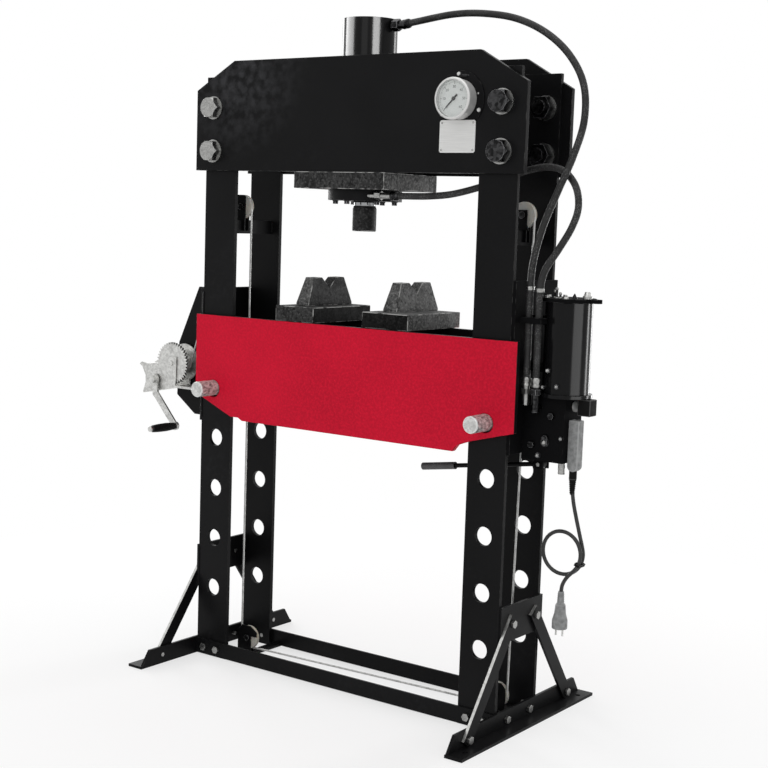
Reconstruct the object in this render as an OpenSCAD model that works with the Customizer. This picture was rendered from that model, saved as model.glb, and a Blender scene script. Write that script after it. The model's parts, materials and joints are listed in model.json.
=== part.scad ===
// Two-post hydraulic workshop press: floor-standing frame, pinned bed on a rope winch, side pump unit.
// Millimetres, +Z up, X across the press, -Y towards the operator, origin on the floor amid the frame.

/* [Frame] */
// Distance from the ram axis to the line of pin holes
hole_line = 467; // [455:1:480]
// Width of each flat-bar upright
upright_w = 114; // [106:2:120]
// Thickness of each upright
upright_t = 12; // [10:1:14]
// Depth over the outer faces of the front and rear uprights
frame_depth = 210; // [200:5:220]
// Top of the uprights, inside the head
upright_top = 1700; // [1690:5:1720]
// Vertical pitch of the pin holes
hole_pitch = 150; // [146:1:154]
// Height of the lowest pin hole
hole_low = 210; // [206:1:214]
// Diameter of the pin holes
hole_d = 50; // [49:0.5:52]

/* [Head] */
// Reach of the head and bed plates past the uprights
head_over = 26; // [16:1:36]
// Underside of the head plates
head_low = 1435; // [1430:5:1440]
// Height of the head plates
head_h = 307; // [300:1:312]
// Thickness of the head plates
head_t = 15; // [12:1:18]
// Length of the top corner chamfers
head_cut_x = 140; // [130:5:150]
// Drop of the top corner chamfers
head_cut_z = 80; // [70:5:90]
// Shank diameter of the head bolts
head_bolt_d = 36; // [34:1:38]

/* [Cylinder] */
// Place of the cylinder along the head, from the middle of the frame
cyl_x = -25; // [-30:1:30]
// Outside diameter of the cylinder barrel
barrel_d = 150; // [146:1:154]
// Bore of the cylinder
bore_d = 110; // [106:1:114]
// Barrel showing above the head plates
barrel_rise = 108; // [100:2:116]
// Ram rod diameter
rod_d = 60; // [58:1:62]
// Ram tip diameter
tip_d = 66; // [64:1:70]
// Length of the ram tip
tip_len = 70; // [66:1:74]
// Thickness of the bearing plate under the head
bearing_t = 45; // [42:1:48]
// Diameter of the gland flange
gland_d = 204; // [198:2:210]

/* [Bed] */
// Height of the bed plates
bed_h = 298; // [292:1:304]
// Thickness of the bed plates
bed_t = 15; // [12:1:18]
// Diameter of the bed pins
pin_d = 45; // [44:0.5:46]
// Pin length showing in front of the bed plate
pin_out = 69; // [60:1:76]
// Thickness of the loose press plates
plate_t = 43; // [40:1:46]
// Height of the vee blocks
vee_h = 79; // [74:1:84]

/* [Winch] */
// Gear module of the winch
gear_m = 3; // [3:1:3]
// Teeth on the drum gear
gear_teeth = 40; // [40:1:40]
// Teeth on the crank pinion
pinion_teeth = 12; // [12:1:12]
// Crank arm length between centres
crank_len = 160; // [150:2:162]
// Crank grip length
grip_len = 95; // [90:1:100]
// Wire rope diameter
rope_d = 6; // [5:0.5:6.5]
// Radius of the rope centre line on the sheaves
sheave_r = 30; // [29:0.5:31]

/* [Pump unit] */
// Oil tank diameter
tank_d = 120; // [116:1:124]
// Oil tank height
tank_h = 231; // [224:1:236]
// Hydraulic hose diameter
hose_d = 18; // [16:1:19]
// Mains lead diameter
lead_d = 10; // [8:0.5:10]

/* [Clearances] */
// Radial running fit of shafts, rod and piston
run_fit = 0.05; // [0.03:0.01:0.08]
// Radial gap of a bolt in its hole
bolt_gap = 0.4; // [0.3:0.1:0.6]
// Gap between bed plates and uprights
slide_gap = 1; // [0.8:0.1:1.5]
// Gap left where a resting part hangs on a pin
rest_gap = 0.3; // [0.3:0.05:0.5]
// Gap between a rope and the groove it runs in
rope_gap = 0.5; // [0.4:0.1:0.8]
// Radial gap of a hose in its clip and of the lead in its strap
hose_gap = 0.4; // [0.3:0.1:0.6]

/* [Hidden] */
$fn = 96;

half_d = frame_depth / 2;
up_in = half_d - upright_t;
up_edge = hole_line + upright_w / 2;
up_inner = hole_line - upright_w / 2;
head_top = head_low + head_h;
head_x = up_edge + head_over;
barrel_top = head_top + barrel_rise;
bearing_low = head_low - bearing_t;
gland_t = 30;
gland_low = bearing_low - gland_t;
tip_top = gland_low - 13;
tip_low = tip_top - tip_len;
piston_low = bearing_low + 250;
piston_h = 60;
bolt_x = hole_line + 15;
bolt_z = [head_low + 55, head_low + 177];
plate_out = half_d + head_t;

pin_hole_z = hole_low + 4 * hole_pitch;
pin_z = pin_hole_z - (hole_d - pin_d) / 2 + rest_gap;
bed_hole_z = pin_z - (hole_d - pin_d) / 2 + rest_gap;
bed_in = half_d + slide_gap;
bed_out = bed_in + bed_t;
bed_low = pin_hole_z - 88;
bed_top = bed_low + bed_h;
web_x = up_inner - 30;
web_t = 12;
lug_top = bed_low + 238;
lug_low = lug_top - 80;
left_x = -240;
right_x = 55;
bed_left = head_x - 14;
bed_right = head_x + 4;

leg_t = 8;
tie_z = 235;
tie_h = 95;
brace_top = [60, tie_z + 48];
brace_foot = [250, 25];
anchor_x = up_edge + 31;
anchor_y = 290;

gauge_x = 356;
gauge_z = head_low + 184;
label_x = 351;
label_z = head_low + 92;

sheave_z = 1335;
low_z = 58;
ul = [-444, -28];
ll = [-385, -28];
ur = [475, 20];
lr = [455, 20];
sheave_w = 12;
axle_d = 12;
rope_r = rope_d / 2;
lug_left = ul[0] + sheave_r;
lug_right = ur[0] - sheave_r;

gear_cd = gear_m * (gear_teeth + pinion_teeth) / 2;
drum_c = [-up_edge - 132, 862];
wall_low = drum_c[1] - 157;
wall_top = drum_c[1] + 233;
shaft_dir = 222;
shaft_c = drum_c + gear_cd * [cos(shaft_dir), sin(shaft_dir)];
winch_y0 = 3 - half_d;
winch_y1 = winch_y0 + 68;
side_t = 4;
core_r = 28;
wind_r = core_r + rope_r + 0.1;
wind_pitch = rope_d + 0.6;
wind_turns = 4;
wind_y = winch_y0 + 16.6;
tail_y = winch_y0 + 50;
tail_r = core_r + rope_r + 0.4;
crank_dir = -56;
arm_t = 9;
arm_y0 = winch_y0 - 5 - arm_t;
arm_bend = shaft_c + [7, -42];
crank_end = shaft_c + crank_len * [cos(crank_dir), sin(crank_dir)];
echo(winding_self_gap = wind_pitch - rope_d);

bracket_x = up_edge;
bracket_t = 10;
block_x = bracket_x + bracket_t;
block_w = 120;
block_low = 715;
block_top = 880;
tank_c = [block_x + 95, 0];
tank_low = block_top + 10;
tank_top = tank_low + tank_h;
clip_z = tank_low + 175;
lid_x = tank_c[0] + 75;
hose_y = -70;
hose_x = [block_x + 20, block_x + 48];
lever_c = [block_x + 35, 700];
lever_tilt = 8.2;
coil_x = block_x + block_w + 18;
box_w = 30;
box_low = block_low - 6;
box_top = block_low + 110;

// Round route points of the hoses and the mains lead, read off the photograph by hand
upper_port = [cyl_x + barrel_d / 2 + 35, 0, barrel_top - 18];
upper_route = [upper_port, upper_port + [45, -1, 6], [250, -6, 1850], [350, -10, 1846], [450, -16, 1827],
  [540, -22, 1787], [612, -28, 1729], [658, -34, 1656], [668, -41, 1570], [648, -49, 1485],
  [614, -57, 1398], [580, -64, 1310], [hose_x[0] + 5, hose_y, 1220], [hose_x[0], hose_y, 1150],
  [hose_x[0], hose_y, 1090], [hose_x[0], hose_y, 1000], [hose_x[0], hose_y, block_top + 25]];
lower_port = [cyl_x + 140, -70, gland_low + 15];
lower_route = [lower_port, lower_port + [45, 3, 0], [225, -62, 1376], [290, -53, 1382], [350, -43, 1396],
  [410, -34, 1415], [470, -27, 1437], [525, -24, 1452], [574, -25, 1456], [617, -28, 1442], [650, -33, 1406],
  [662, -39, 1357],
  [650, -46, 1307], [622, -57, 1252], [hose_x[1] + 10, hose_y + 2, 1198], [hose_x[1], hose_y, 1145],
  [hose_x[1], hose_y, 1090], [hose_x[1], hose_y, 1000], [hose_x[1], hose_y, block_top + 25]];
lead_x = block_x + block_w + 12;
lead_top = [lead_x, -8, 672];
loop_c = [lead_x - 16, 482];
loop_r = 56;
loop_step = -20;
loop_y = [-8, -22];
function loop_at(a) = [loop_c[0] + loop_r * cos(a), loop_y[0] - (loop_y[1] - loop_y[0]) * a / 360,
  loop_c[1] + loop_r * sin(a)];
plug_at = [loop_c[0] + 7, loop_y[1] - 2, 384];
lead_route = concat([lead_top, lead_top + [1, 0, -28], lead_top + [6, 0, -60], lead_top + [16, 0, -98],
    lead_top + [27, 0, -136]], [for (a = [16:loop_step:-404]) loop_at(a)],
  [plug_at + [18, 0, 43], plug_at + [8, 0, 29], plug_at + [2, 0, 15], plug_at]);
tie_a = -24;

// Smooth route through points, n steps per span
function spline(p, n) = concat([for (i = [0:len(p) - 2]) for (k = [0:n - 1])
  let (t = k / n, a = p[max(i - 1, 0)], b = p[i], c = p[i + 1], d = p[min(i + 2, len(p) - 1)])
  0.5 * (2 * b + (c - a) * t + (2 * a - 5 * b + 4 * c - d) * t * t + (3 * b - a - 3 * c + d) * t * t * t)],
  [p[len(p) - 1]]);
function unit(v) = v / norm(v);
function tangent(p, i) = unit(p[min(i + 1, len(p) - 1)] - p[max(i - 1, 0)]);
function arc(c, y, r, a0, a1, n) = [for (k = [0:n]) let (a = a0 + (a1 - a0) * k / n)
  [c[0] + r * cos(a), y, c[1] + r * sin(a)]];

// Round tube swept along a route that keeps clear of the Y direction
module tube(p, r, sides) {
  n = len(p);
  pts = [for (i = [0:n - 1])
    let (t = tangent(p, i), u = unit(cross(t, [0, 1, 0])), v = cross(u, t))
    for (k = [0:sides - 1]) p[i] + r * (cos(360 * k / sides) * u + sin(360 * k / sides) * v)];
  walls = [for (i = [0:n - 2]) for (k = [0:sides - 1])
    let (a = i * sides + k, b = i * sides + (k + 1) % sides)
    each [[a, b, b + sides], [a, b + sides, a + sides]]];
  ends = [[for (k = [sides - 1:-1:0]) k], [for (k = [0:sides - 1]) (n - 1) * sides + k]];
  polyhedron(pts, concat(walls, ends), convexity = 8);
}

// Cylinder between two heights along Y
module bar_y(c, y0, y1, d) {
  translate([c[0], y1, c[1]])
    rotate([90, 0, 0])
      cylinder(d = d, h = y1 - y0);
}

// Plate with a profile in X and Z between two depths
module plate_y(profile, y0, y1) {
  translate([0, y1, 0])
    rotate([90, 0, 0])
      linear_extrude(y1 - y0)
        polygon(profile);
}

// Cylinder between two positions along X
module bar_x(y, z, x0, x1, d) {
  translate([x0, y, z])
    rotate([0, 90, 0])
      cylinder(d = d, h = x1 - x0);
}

module box(x0, x1, y0, y1, z0, z1) {
  translate([x0, y0, z0])
    cube([x1 - x0, y1 - y0, z1 - z0]);
}

function involute_point(rb, r) = let (a = acos(min(1, rb / r))) tan(a) * 180 / PI - a;
// Spur gear outline with true involute flanks and a little backlash
function gear_points(m, z, backlash) = let (
  pa = 25, rp = m * z / 2, rb = rp * cos(pa), ra = rp + m * 0.95, rf = rp - m * 1.2,
  half = 90 / z - backlash / 2 / rp * 180 / PI + involute_point(rb, rp),
  radii = [rf, max(rb, rf) + 0.01, (max(rb, rf) + rp) / 2, rp, (rp + ra) / 2, ra],
  flank = [for (r = radii) [r, half - involute_point(rb, max(r, rb))]])
  [for (k = [0:z - 1]) each concat(
    [for (f = flank) f[0] * [cos(k * 360 / z - f[1]), sin(k * 360 / z - f[1])]],
    [for (i = [len(flank) - 1:-1:0])
      flank[i][0] * [cos(k * 360 / z + flank[i][1]), sin(k * 360 / z + flank[i][1])]])];

module gear_y(c, turn, y0, y1, teeth, backlash) {
  translate([c[0], y1, c[1]])
    rotate([90, 0, 0])
      rotate([0, 0, turn])
        linear_extrude(y1 - y0)
          polygon(gear_points(gear_m, teeth, backlash));
}

module both_x() {
  children();
  mirror([1, 0, 0])
    children();
}

module both_y() {
  children();
  mirror([0, 1, 0])
    children();
}

// Flat-bar upright with its row of pin holes and the two head bolt holes
module upright(sx, sy) {
  color("#1c1c1e")
    mirror([sx < 0 ? 1 : 0, 0, 0])
      mirror([0, sy < 0 ? 1 : 0, 0])
        difference() {
          box(up_inner, up_edge, up_in, half_d, 0, upright_top);
          for (k = [0:5])
            bar_y([hole_line, hole_low + k * hole_pitch], up_in - 1, half_d + 1, hole_d);
          for (z = bolt_z)
            bar_y([bolt_x, z], up_in - 1, half_d + 1, head_bolt_d + 2 * bolt_gap);
          for (x = [hole_line - 25, hole_line + 25])
            bar_y([x, 25], up_in - 1, half_d + 1, 12 + 2 * bolt_gap);
        }
}

module head_plate(sy) {
  color("#1c1c1e")
    mirror([0, sy < 0 ? 1 : 0, 0])
      difference() {
        plate_y([[-head_x, head_low], [head_x, head_low], [head_x, head_top - head_cut_z],
          [head_x - head_cut_x, head_top], [-head_x + head_cut_x, head_top],
          [-head_x, head_top - head_cut_z]], half_d, plate_out);
        for (x = [-bolt_x, bolt_x])
          for (z = bolt_z)
            bar_y([x, z], half_d - 1, plate_out + 1, head_bolt_d + 2 * bolt_gap);
      }
}

// One head bolt: hex head with chamfered face, two washers, nut and shank
module head_bolt(c) {
  bar_y(c, plate_out, plate_out + 6, head_bolt_d * 1.8);
  intersection() {
    translate([c[0], plate_out + 30, c[1]])
      rotate([90, 0, 0])
        cylinder(d = head_bolt_d * 1.73, h = 24, $fn = 6);
    translate([c[0], plate_out + 6, c[1]])
      rotate([-90, 0, 0])
        cylinder(d1 = head_bolt_d * 2.3, d2 = head_bolt_d * 1.5, h = 24);
  }
  bar_y(c, up_in - 42, plate_out + 6, head_bolt_d);
  difference() {
    union() {
      bar_y(c, up_in - 6, up_in, head_bolt_d * 1.8);
      translate([c[0], up_in - 6, c[1]])
        rotate([90, 0, 0])
          cylinder(d = head_bolt_d * 1.73, h = 28, $fn = 6);
    }
    bar_y(c, up_in - 60, up_in + 1, head_bolt_d - 0.5);
  }
}

module head_bolts() {
  color("#c9c8c4")
    both_y()
      both_x()
        for (z = bolt_z)
          head_bolt([bolt_x, z]);
}

// Thick square plate that carries the cylinder's thrust into both head plates
module bearing_plate() {
  color("#3a3a3a")
    difference() {
      box(cyl_x - 153, cyl_x + 153, -half_d - 20, half_d + 20, bearing_low, head_low);
      translate([cyl_x, 0, bearing_low - 1])
        cylinder(d = barrel_d + 0.2, h = bearing_t + 2);
    }
}

module gland_flange() {
  color("#222224")
    difference() {
      translate([cyl_x, 0, gland_low])
        cylinder(d = gland_d, h = gland_t);
      translate([cyl_x, 0, gland_low - 1])
        cylinder(d = rod_d + 2 * run_fit, h = gland_t + 2);
      bar_x(-70, lower_port[2], cyl_x + 49, cyl_x + gland_d / 2, 16.6);
    }
}

// Barrel with a welded top, a chamber under it and the upper port
module cylinder_barrel() {
  color("#161617")
    difference() {
      translate([cyl_x, 0, bearing_low])
        cylinder(d = barrel_d, h = barrel_top - bearing_low);
      translate([cyl_x, 0, bearing_low - 1])
        cylinder(d = bore_d, h = barrel_top - bearing_low - 39);
      translate([cyl_x, 0, bearing_low])
        cylinder(d = 60, h = barrel_top - bearing_low - 8);
      bar_x(0, upper_port[2], cyl_x, cyl_x + barrel_d, 20.6);
    }
}

// Chromed rod with its piston inside the barrel
module ram() {
  color("#c4c6c8")
    translate([cyl_x, 0, 0])
      rotate_extrude()
        polygon([[0, tip_top], [rod_d / 2, tip_top], [rod_d / 2, piston_low],
          [bore_d / 2 - run_fit, piston_low], [bore_d / 2 - run_fit, piston_low + 20],
          [bore_d / 2 - 4, piston_low + 20], [bore_d / 2 - 4, piston_low + 28],
          [bore_d / 2 - run_fit, piston_low + 28], [bore_d / 2 - run_fit, piston_low + piston_h],
          [0, piston_low + piston_h]]);
}

module ram_tip() {
  color("#242426")
    translate([cyl_x, 0, 0])
      rotate_extrude()
        polygon([[0, tip_low], [tip_d / 2 - 2, tip_low], [tip_d / 2, tip_low + 2], [tip_d / 2, tip_top - 8],
          [tip_d / 2 - 3, tip_top], [0, tip_top]]);
}

// Round pressure gauge: case with bezel, dial, needle and glass
module gauge_case() {
  color("#9a9b9c")
    translate([gauge_x, -plate_out, gauge_z])
      rotate([90, 0, 0]) {
        rotate_extrude()
          polygon([[0, 0], [50, 0], [50, 30], [53, 31], [53, 39], [50, 42], [46.5, 42], [46.5, 28], [0, 28]]);
        intersection() {
          cylinder(d = 144, h = 3);
          translate([-80, -48, -1])
            cube([160, 160, 5]);
        }
      }
  color("#c9c8c4")
    for (a = [95, 215, 335])
      translate([gauge_x + 64 * cos(a), -plate_out - 3, gauge_z + 64 * sin(a)])
        rotate([90, 0, 0])
          cylinder(d1 = 11, d2 = 8, h = 4);
}

module gauge_dial() {
  color("#f2f2ee")
    translate([gauge_x, -plate_out - 28, gauge_z])
      rotate([90, 0, 0])
        difference() {
          cylinder(d = 92.8, h = 2);
          translate([0, 0, -1])
            cylinder(d = 5.2, h = 4);
        }
}

module gauge_needle() {
  color("#141414")
    translate([gauge_x, -plate_out - 28, gauge_z])
      rotate([90, 0, 0]) {
        cylinder(d = 5, h = 5);
        translate([0, 0, 3.2])
          cylinder(d = 10, h = 1.8);
        rotate([0, 0, 225])
          translate([0, 0, 3.2])
            linear_extrude(1.2)
              polygon([[-14, -2], [0, -2.4], [36, -0.6], [36, 0.6], [0, 2.4], [-14, 2]]);
      }
}

module gauge_glass() {
  color("#dfe8ea", 0.4)
    translate([gauge_x, -plate_out - 38, gauge_z])
      rotate([90, 0, 0])
        cylinder(d = 92.8, h = 2.5);
}

module label_plate() {
  color("#d8d8d4")
    plate_y([[label_x - 50, label_z - 41], [label_x + 50, label_z - 41], [label_x + 54, label_z - 37],
      [label_x + 54, label_z + 37], [label_x + 50, label_z + 41], [label_x - 50, label_z + 41],
      [label_x - 54, label_z + 37], [label_x - 54, label_z - 37]], -plate_out - 2, -plate_out);
}

// Angle foot along the depth: upright leg against the posts, floor flange outwards
module foot(sx) {
  color("#1c1c1e")
    mirror([sx < 0 ? 1 : 0, 0, 0])
      difference() {
        union() {
          translate([up_edge, 0, 0])
            rotate([90, 0, 90])
              linear_extrude(leg_t)
                polygon([[-338, 0], [338, 0], [304, 50], [-304, 50]]);
          box(up_edge, up_edge + 52, -338, 338, 0, leg_t);
        }
        foot_bolt_axes(12 + 2 * bolt_gap);
        both_y()
          translate([anchor_x, anchor_y, -1])
            cylinder(d = 14, h = leg_t + 2);
      }
}

// Bolt axes on the right side, through foot legs, side ties and braces
module foot_bolt_axes(d) {
  both_y() {
    bar_x(brace_top[0], brace_top[1], up_edge - 15, up_edge + 40, d);
    bar_x(brace_foot[0], brace_foot[1], up_edge - 15, up_edge + 40, d);
    bar_x(57, 25, up_edge - 15, up_edge + 40, d);
  }
}

module brace_right() {
  difference() {
    translate([up_edge + leg_t, 0, 0])
      rotate([90, 0, 90])
        linear_extrude(leg_t)
          brace_outline();
    foot_bolt_axes(12 + 2 * bolt_gap);
  }
}

module brace_outline() {
  d = unit(brace_foot - brace_top);
  n = [-d[1], d[0]] * 19;
  a = brace_top - d * 18;
  b = brace_foot + d * 14;
  difference() {
    polygon([a + n, b + n, b - n, a - n]);
    translate([0, -100 + leg_t + 0.3])
      square([400, 100]);
  }
}

// Flat diagonal braces between feet and side ties
module braces() {
  color("#1c1c1e")
    both_y()
      both_x()
        brace_right();
}

// Angle cross bars in front of and behind the uprights, top flange trimmed to fit between them
module cross_bar(y0) {
  difference() {
    union() {
      box(-up_edge, up_edge, y0, y0 + 6, 3, 48);
      box(-up_inner + 50, up_inner - 50, y0, y0 + 46, 3, 9);
    }
    both_x()
      for (x = [hole_line - 25, hole_line + 25])
        bar_y([x, 25], y0 - 1, y0 + 7, 12 + 2 * bolt_gap);
  }
}

module cross_bars() {
  color("#1c1c1e") {
    cross_bar(-half_d - 6);
    cross_bar(half_d);
  }
}

// Plates across the outer edges of the uprights that carry the braces
module side_ties() {
  color("#1c1c1e")
    both_x()
      difference() {
        box(up_edge, up_edge + leg_t, -half_d, half_d, tie_z, tie_z + tie_h);
        foot_bolt_axes(12 + 2 * bolt_gap);
      }
}

module small_bolt_x(y, z) {
  bar_x(y, z, up_edge + 0.5, up_edge + 2 * leg_t, 12);
  translate([up_edge + 2 * leg_t, y, z])
    rotate([0, 90, 0])
      cylinder(d = 22, h = 8, $fn = 6);
}

module small_bolt_y(x) {
  bar_y([x, 25], up_in + 0.5, half_d + 6, 12);
  translate([x, half_d + 14, 25])
    rotate([90, 0, 0])
      cylinder(d = 22, h = 8, $fn = 6);
}

// Hex bolts of braces, feet and cross bars
module frame_bolts() {
  color("#c9c8c4") {
    both_x()
      both_y() {
        small_bolt_x(brace_top[0], brace_top[1]);
        small_bolt_x(brace_foot[0], brace_foot[1]);
        translate([-leg_t, 0, 0])
          small_bolt_x(57, 25);
      }
    both_x()
      both_y()
        for (x = [hole_line - 25, hole_line + 25])
          small_bolt_y(x);
  }
}

module cheeks(c, z, z0, reach) {
  for (y = [c[1] - sheave_w / 2 - 5, c[1] + sheave_w / 2 + 1])
    difference() {
      plate_y([[c[0] - reach, z0], [c[0] + 13, z0], [c[0] + 13, z + 13], [c[0] - 13, z + 13],
        [c[0] - reach, z0 + 36]], y, y + 4);
      bar_y([c[0], z], y - 1, y + 5, axle_d + 0.02);
    }
}

// Cross bars between the uprights with cheek plates for the four rope sheaves
module sheave_carriers() {
  color("#1c1c1e") {
    box(ul[0] - 6, ul[0] + 6, -up_in, up_in, sheave_z - 78, sheave_z - 39);
    box(ur[0] - 6, ur[0] + 6, -up_in, up_in, sheave_z - 78, sheave_z - 39);
    box(ll[0] - 15, ll[0] + 15, -half_d, half_d, 3, 10);
    box(lr[0] - 15, lr[0] + 15, -up_in, up_in, 3, 10);
    cheeks(ul, sheave_z, sheave_z - 70, 36);
    cheeks(ur, sheave_z, sheave_z - 70, 36);
    cheeks(ll, low_z, 10, 36);
    cheeks(lr, low_z, 10, 36);
  }
}

module axle(c, z) {
  bar_y([c[0], z], c[1] - sheave_w / 2 - 7, c[1] + sheave_w / 2 + 7, axle_d);
  bar_y([c[0], z], c[1] - sheave_w / 2 - 9, c[1] - sheave_w / 2 - 5, axle_d + 6);
  bar_y([c[0], z], c[1] + sheave_w / 2 + 5, c[1] + sheave_w / 2 + 9, axle_d + 6);
}

module sheave_axles() {
  color("#c9c8c4") {
    axle(ul, sheave_z);
    axle(ur, sheave_z);
    axle(ll, low_z);
    axle(lr, low_z);
  }
}

// Grooved rope sheave, turning on its axle
module sheave(c, z) {
  bottom = sheave_r - rope_r - rope_gap;
  rim = sheave_r + 4;
  bore = axle_d / 2 + run_fit;
  w = sheave_w / 2;
  color("#e6e4de")
    translate([c[0], c[1], z])
      rotate([90, 0, 0])
        rotate_extrude()
          polygon([[bore, -w], [rim - 1, -w], [rim, -w + 1], [rim, -w + 1.4], [bottom + 3, -rope_r - 0.6],
            [bottom, -1.6], [bottom, 1.6], [bottom + 3, rope_r + 0.6], [rim, w - 1.4], [rim, w - 1],
            [rim - 1, w], [bore, w]]);
}

// Long bed plate with cut lower corners and the two pin holes
module bed_plate(sy) {
  color("#b3182b")
    mirror([0, sy < 0 ? 1 : 0, 0])
      difference() {
        plate_y(bed_profile(), bed_in, bed_out);
        for (x = [-hole_line, hole_line])
          bar_y([x, bed_hole_z], bed_in - 1, bed_out + 1, hole_d);
      }
}

function bed_profile() = [[-bed_left, bed_low + 66], [-bed_left, bed_top], [bed_right, bed_top],
  [bed_right, bed_low + 66], [bed_right - 130, bed_low + 32], [bed_right - 168, bed_low + 18],
  [bed_right - 182, bed_low], [-bed_left + 182, bed_low], [-bed_left + 168, bed_low + 8],
  [-bed_left + 138, bed_low + 8]];

// Cross webs that tie the two bed plates together, with lugs where the ropes are made fast
module bed_webs() {
  color("#b3182b") {
    both_x() {
      box(web_x - web_t, web_x, -bed_in, bed_in, bed_low + 18, bed_top - 20);
      box(150, 150 + web_t, -bed_in, bed_in, bed_low + 18, bed_top - 20);
    }
    box(lug_left - 10, -web_x, ul[1] - 12, ul[1] + 12, lug_low, lug_top);
    box(web_x, lug_right + 10, ur[1] - 12, ur[1] + 12, lug_low, lug_top);
  }
}

// Loose bed pin with bevelled ends
module pin(x) {
  color("#cfcdc6")
    translate([x, bed_out + 30, pin_z])
      rotate([90, 0, 0])
        rotate_extrude()
          polygon([[0, 0], [pin_d / 2 - 2, 0], [pin_d / 2, 2], [pin_d / 2, 2 * bed_out + pin_out + 28],
            [pin_d / 2 - 2, 2 * bed_out + pin_out + 30], [0, 2 * bed_out + pin_out + 30]]);
}

module press_plate(x0, w, front, back) {
  color("#4a4a4a")
    box(x0, x0 + w, -bed_out + front, bed_out + back, bed_top, bed_top + plate_t);
}

// Cast vee block, its notch running across the press
module vee_block(x0, yc) {
  z0 = bed_top + plate_t;
  color("#505050")
    intersection() {
      translate([x0, yc, z0])
        rotate([90, 0, 90])
          linear_extrude(46)
            polygon([[-100, 0], [100, 0], [100, 6], [70, vee_h], [31, vee_h], [0, vee_h - 30], [-31, vee_h],
              [-70, vee_h], [-100, 6]]);
      plate_y([[x0 - 1, z0 - 1], [x0 + 47, z0 - 1], [x0 + 47, z0], [x0 + 38, z0 + vee_h + 1],
        [x0 + 8, z0 + vee_h + 1], [x0 - 1, z0]], yc - 110, yc + 110);
    }
}

// Wall across the left uprights with a gusset that carries the winch
module winch_mount() {
  color("#1c1c1e") {
    box(-up_edge - leg_t, -up_edge, -half_d, half_d, wall_low, wall_top);
    plate_y([[-up_edge - leg_t, wall_low + 2], [-up_edge - leg_t, wall_top - 2],
      [drum_c[0] + 46, wall_top - 2], drum_c + [-33, 58], drum_c + [-38, -102],
      [drum_c[0] + 36, wall_low + 2]], winch_y1, winch_y1 + 8);
  }
}

// Outline of a winch side: hook at the upper left, hollow left edge, land for the drum shaft
function winch_side() = [for (p = [[-132, -11], [-120, -19], [-106, -44], [-105, -66], [-115, -93],
  [19, -66], [21, 20], [-14, 18], [-40, -1], [-96, -8], [-122, -5]]) drum_c + p];

// Two zinc side plates on a base strip that reaches the wall
module winch_frame() {
  color("#c9c8c4")
    difference() {
      union() {
        plate_y(winch_side(), winch_y0, winch_y0 + side_t);
        plate_y(winch_side(), winch_y1 - side_t, winch_y1);
        plate_y([drum_c + [-115, -93], drum_c + [19, -66], [-up_edge - leg_t, drum_c[1] - 66],
          [-up_edge - leg_t, drum_c[1] - 72], drum_c + [19, -72], drum_c + [-115, -99]], winch_y0, winch_y1);
      }
      bar_y(drum_c, winch_y0 - 1, winch_y1 + 1, 16 + 2 * run_fit);
      bar_y(shaft_c, winch_y0 - 1, winch_y1 + 1, 14 + 2 * run_fit);
    }
}

// Drum with its gear and flange on one shaft
module winch_drum() {
  color("#c9c8c4") {
    gear_y(drum_c, shaft_dir, winch_y0 + side_t + 1, winch_y0 + side_t + 9, gear_teeth, 0.3);
    bar_y(drum_c, winch_y0 + side_t + 9, winch_y1 - side_t - 4, 2 * core_r);
    bar_y(drum_c, winch_y1 - side_t - 5, winch_y1 - side_t - 1, 112);
    bar_y(drum_c, winch_y0 - 3, winch_y1 - 1, 16);
  }
}

function winding_points() = [for (i = [0:wind_turns * 16]) let (a = 360 * i / 16)
  [drum_c[0] + wind_r * cos(a), wind_y + wind_pitch * i / 16, drum_c[1] + wind_r * sin(a)]];

// Rope turns wound on the drum
module rope_winding() {
  color("#a9aaa8")
    tube(winding_points(), rope_r, 8);
}

// Crank shaft with its pinion
module winch_pinion() {
  color("#c9c8c4") {
    gear_y(shaft_c, shaft_dir + 180 + 180 / pinion_teeth, winch_y0 + side_t + 0.5, winch_y0 + side_t + 9.5,
      pinion_teeth, 0.3);
    bar_y(shaft_c, arm_y0 - 2, winch_y1, 14);
    translate([shaft_c[0], arm_y0, shaft_c[1]])
      rotate([90, 0, 0])
        cylinder(d = 24, h = 9, $fn = 6);
  }
}

// Straight length of the crank arm between two centres
module arm_bar(a, b) {
  d = b - a;
  translate([a[0], arm_y0 + arm_t - 1, a[1]])
    rotate([90, 0, 0])
      rotate([0, 0, atan2(d[1], d[0])])
        translate([0, -10, 0])
          cube([norm(d), 20, arm_t - 2]);
}

// Bent flat crank arm and the pin of its grip
module crank_arm() {
  color("#c9c8c4") {
    difference() {
      union() {
        bar_y(shaft_c, arm_y0, arm_y0 + arm_t, 30);
        bar_y(crank_end, arm_y0, arm_y0 + arm_t, 26);
        bar_y(arm_bend, arm_y0 + 0.5, arm_y0 + arm_t - 0.5, 22);
        arm_bar(shaft_c, arm_bend);
        arm_bar(arm_bend, crank_end);
      }
      bar_y(shaft_c, arm_y0 - 2, arm_y0 + arm_t + 2, 14.04);
    }
    bar_y(crank_end, arm_y0 - 4 - grip_len, arm_y0 + 4, 10);
    bar_y(crank_end, arm_y0 - 7 - grip_len, arm_y0 - 1 - grip_len, 16);
  }
}

// Turned grip that spins on the crank pin
module crank_grip() {
  bore = 5 + run_fit;
  color("#1a1a1a")
    translate([crank_end[0], arm_y0 - 0.4, crank_end[1]])
      rotate([90, 0, 0])
        rotate_extrude()
          polygon([[bore, 0], [9, 0], [10.5, 4], [12.5, grip_len * 0.35], [12, grip_len * 0.7],
            [10.5, grip_len - 6], [9, grip_len - 2], [bore, grip_len - 2]]);
}

rope_run = [ul[0], sheave_z] - drum_c;
rope_dir = atan2(rope_run[1], rope_run[0]) + asin((tail_r + sheave_r) / norm(rope_run));
tail_at = drum_c + tail_r * [sin(rope_dir), -cos(rope_dir)];

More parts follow.
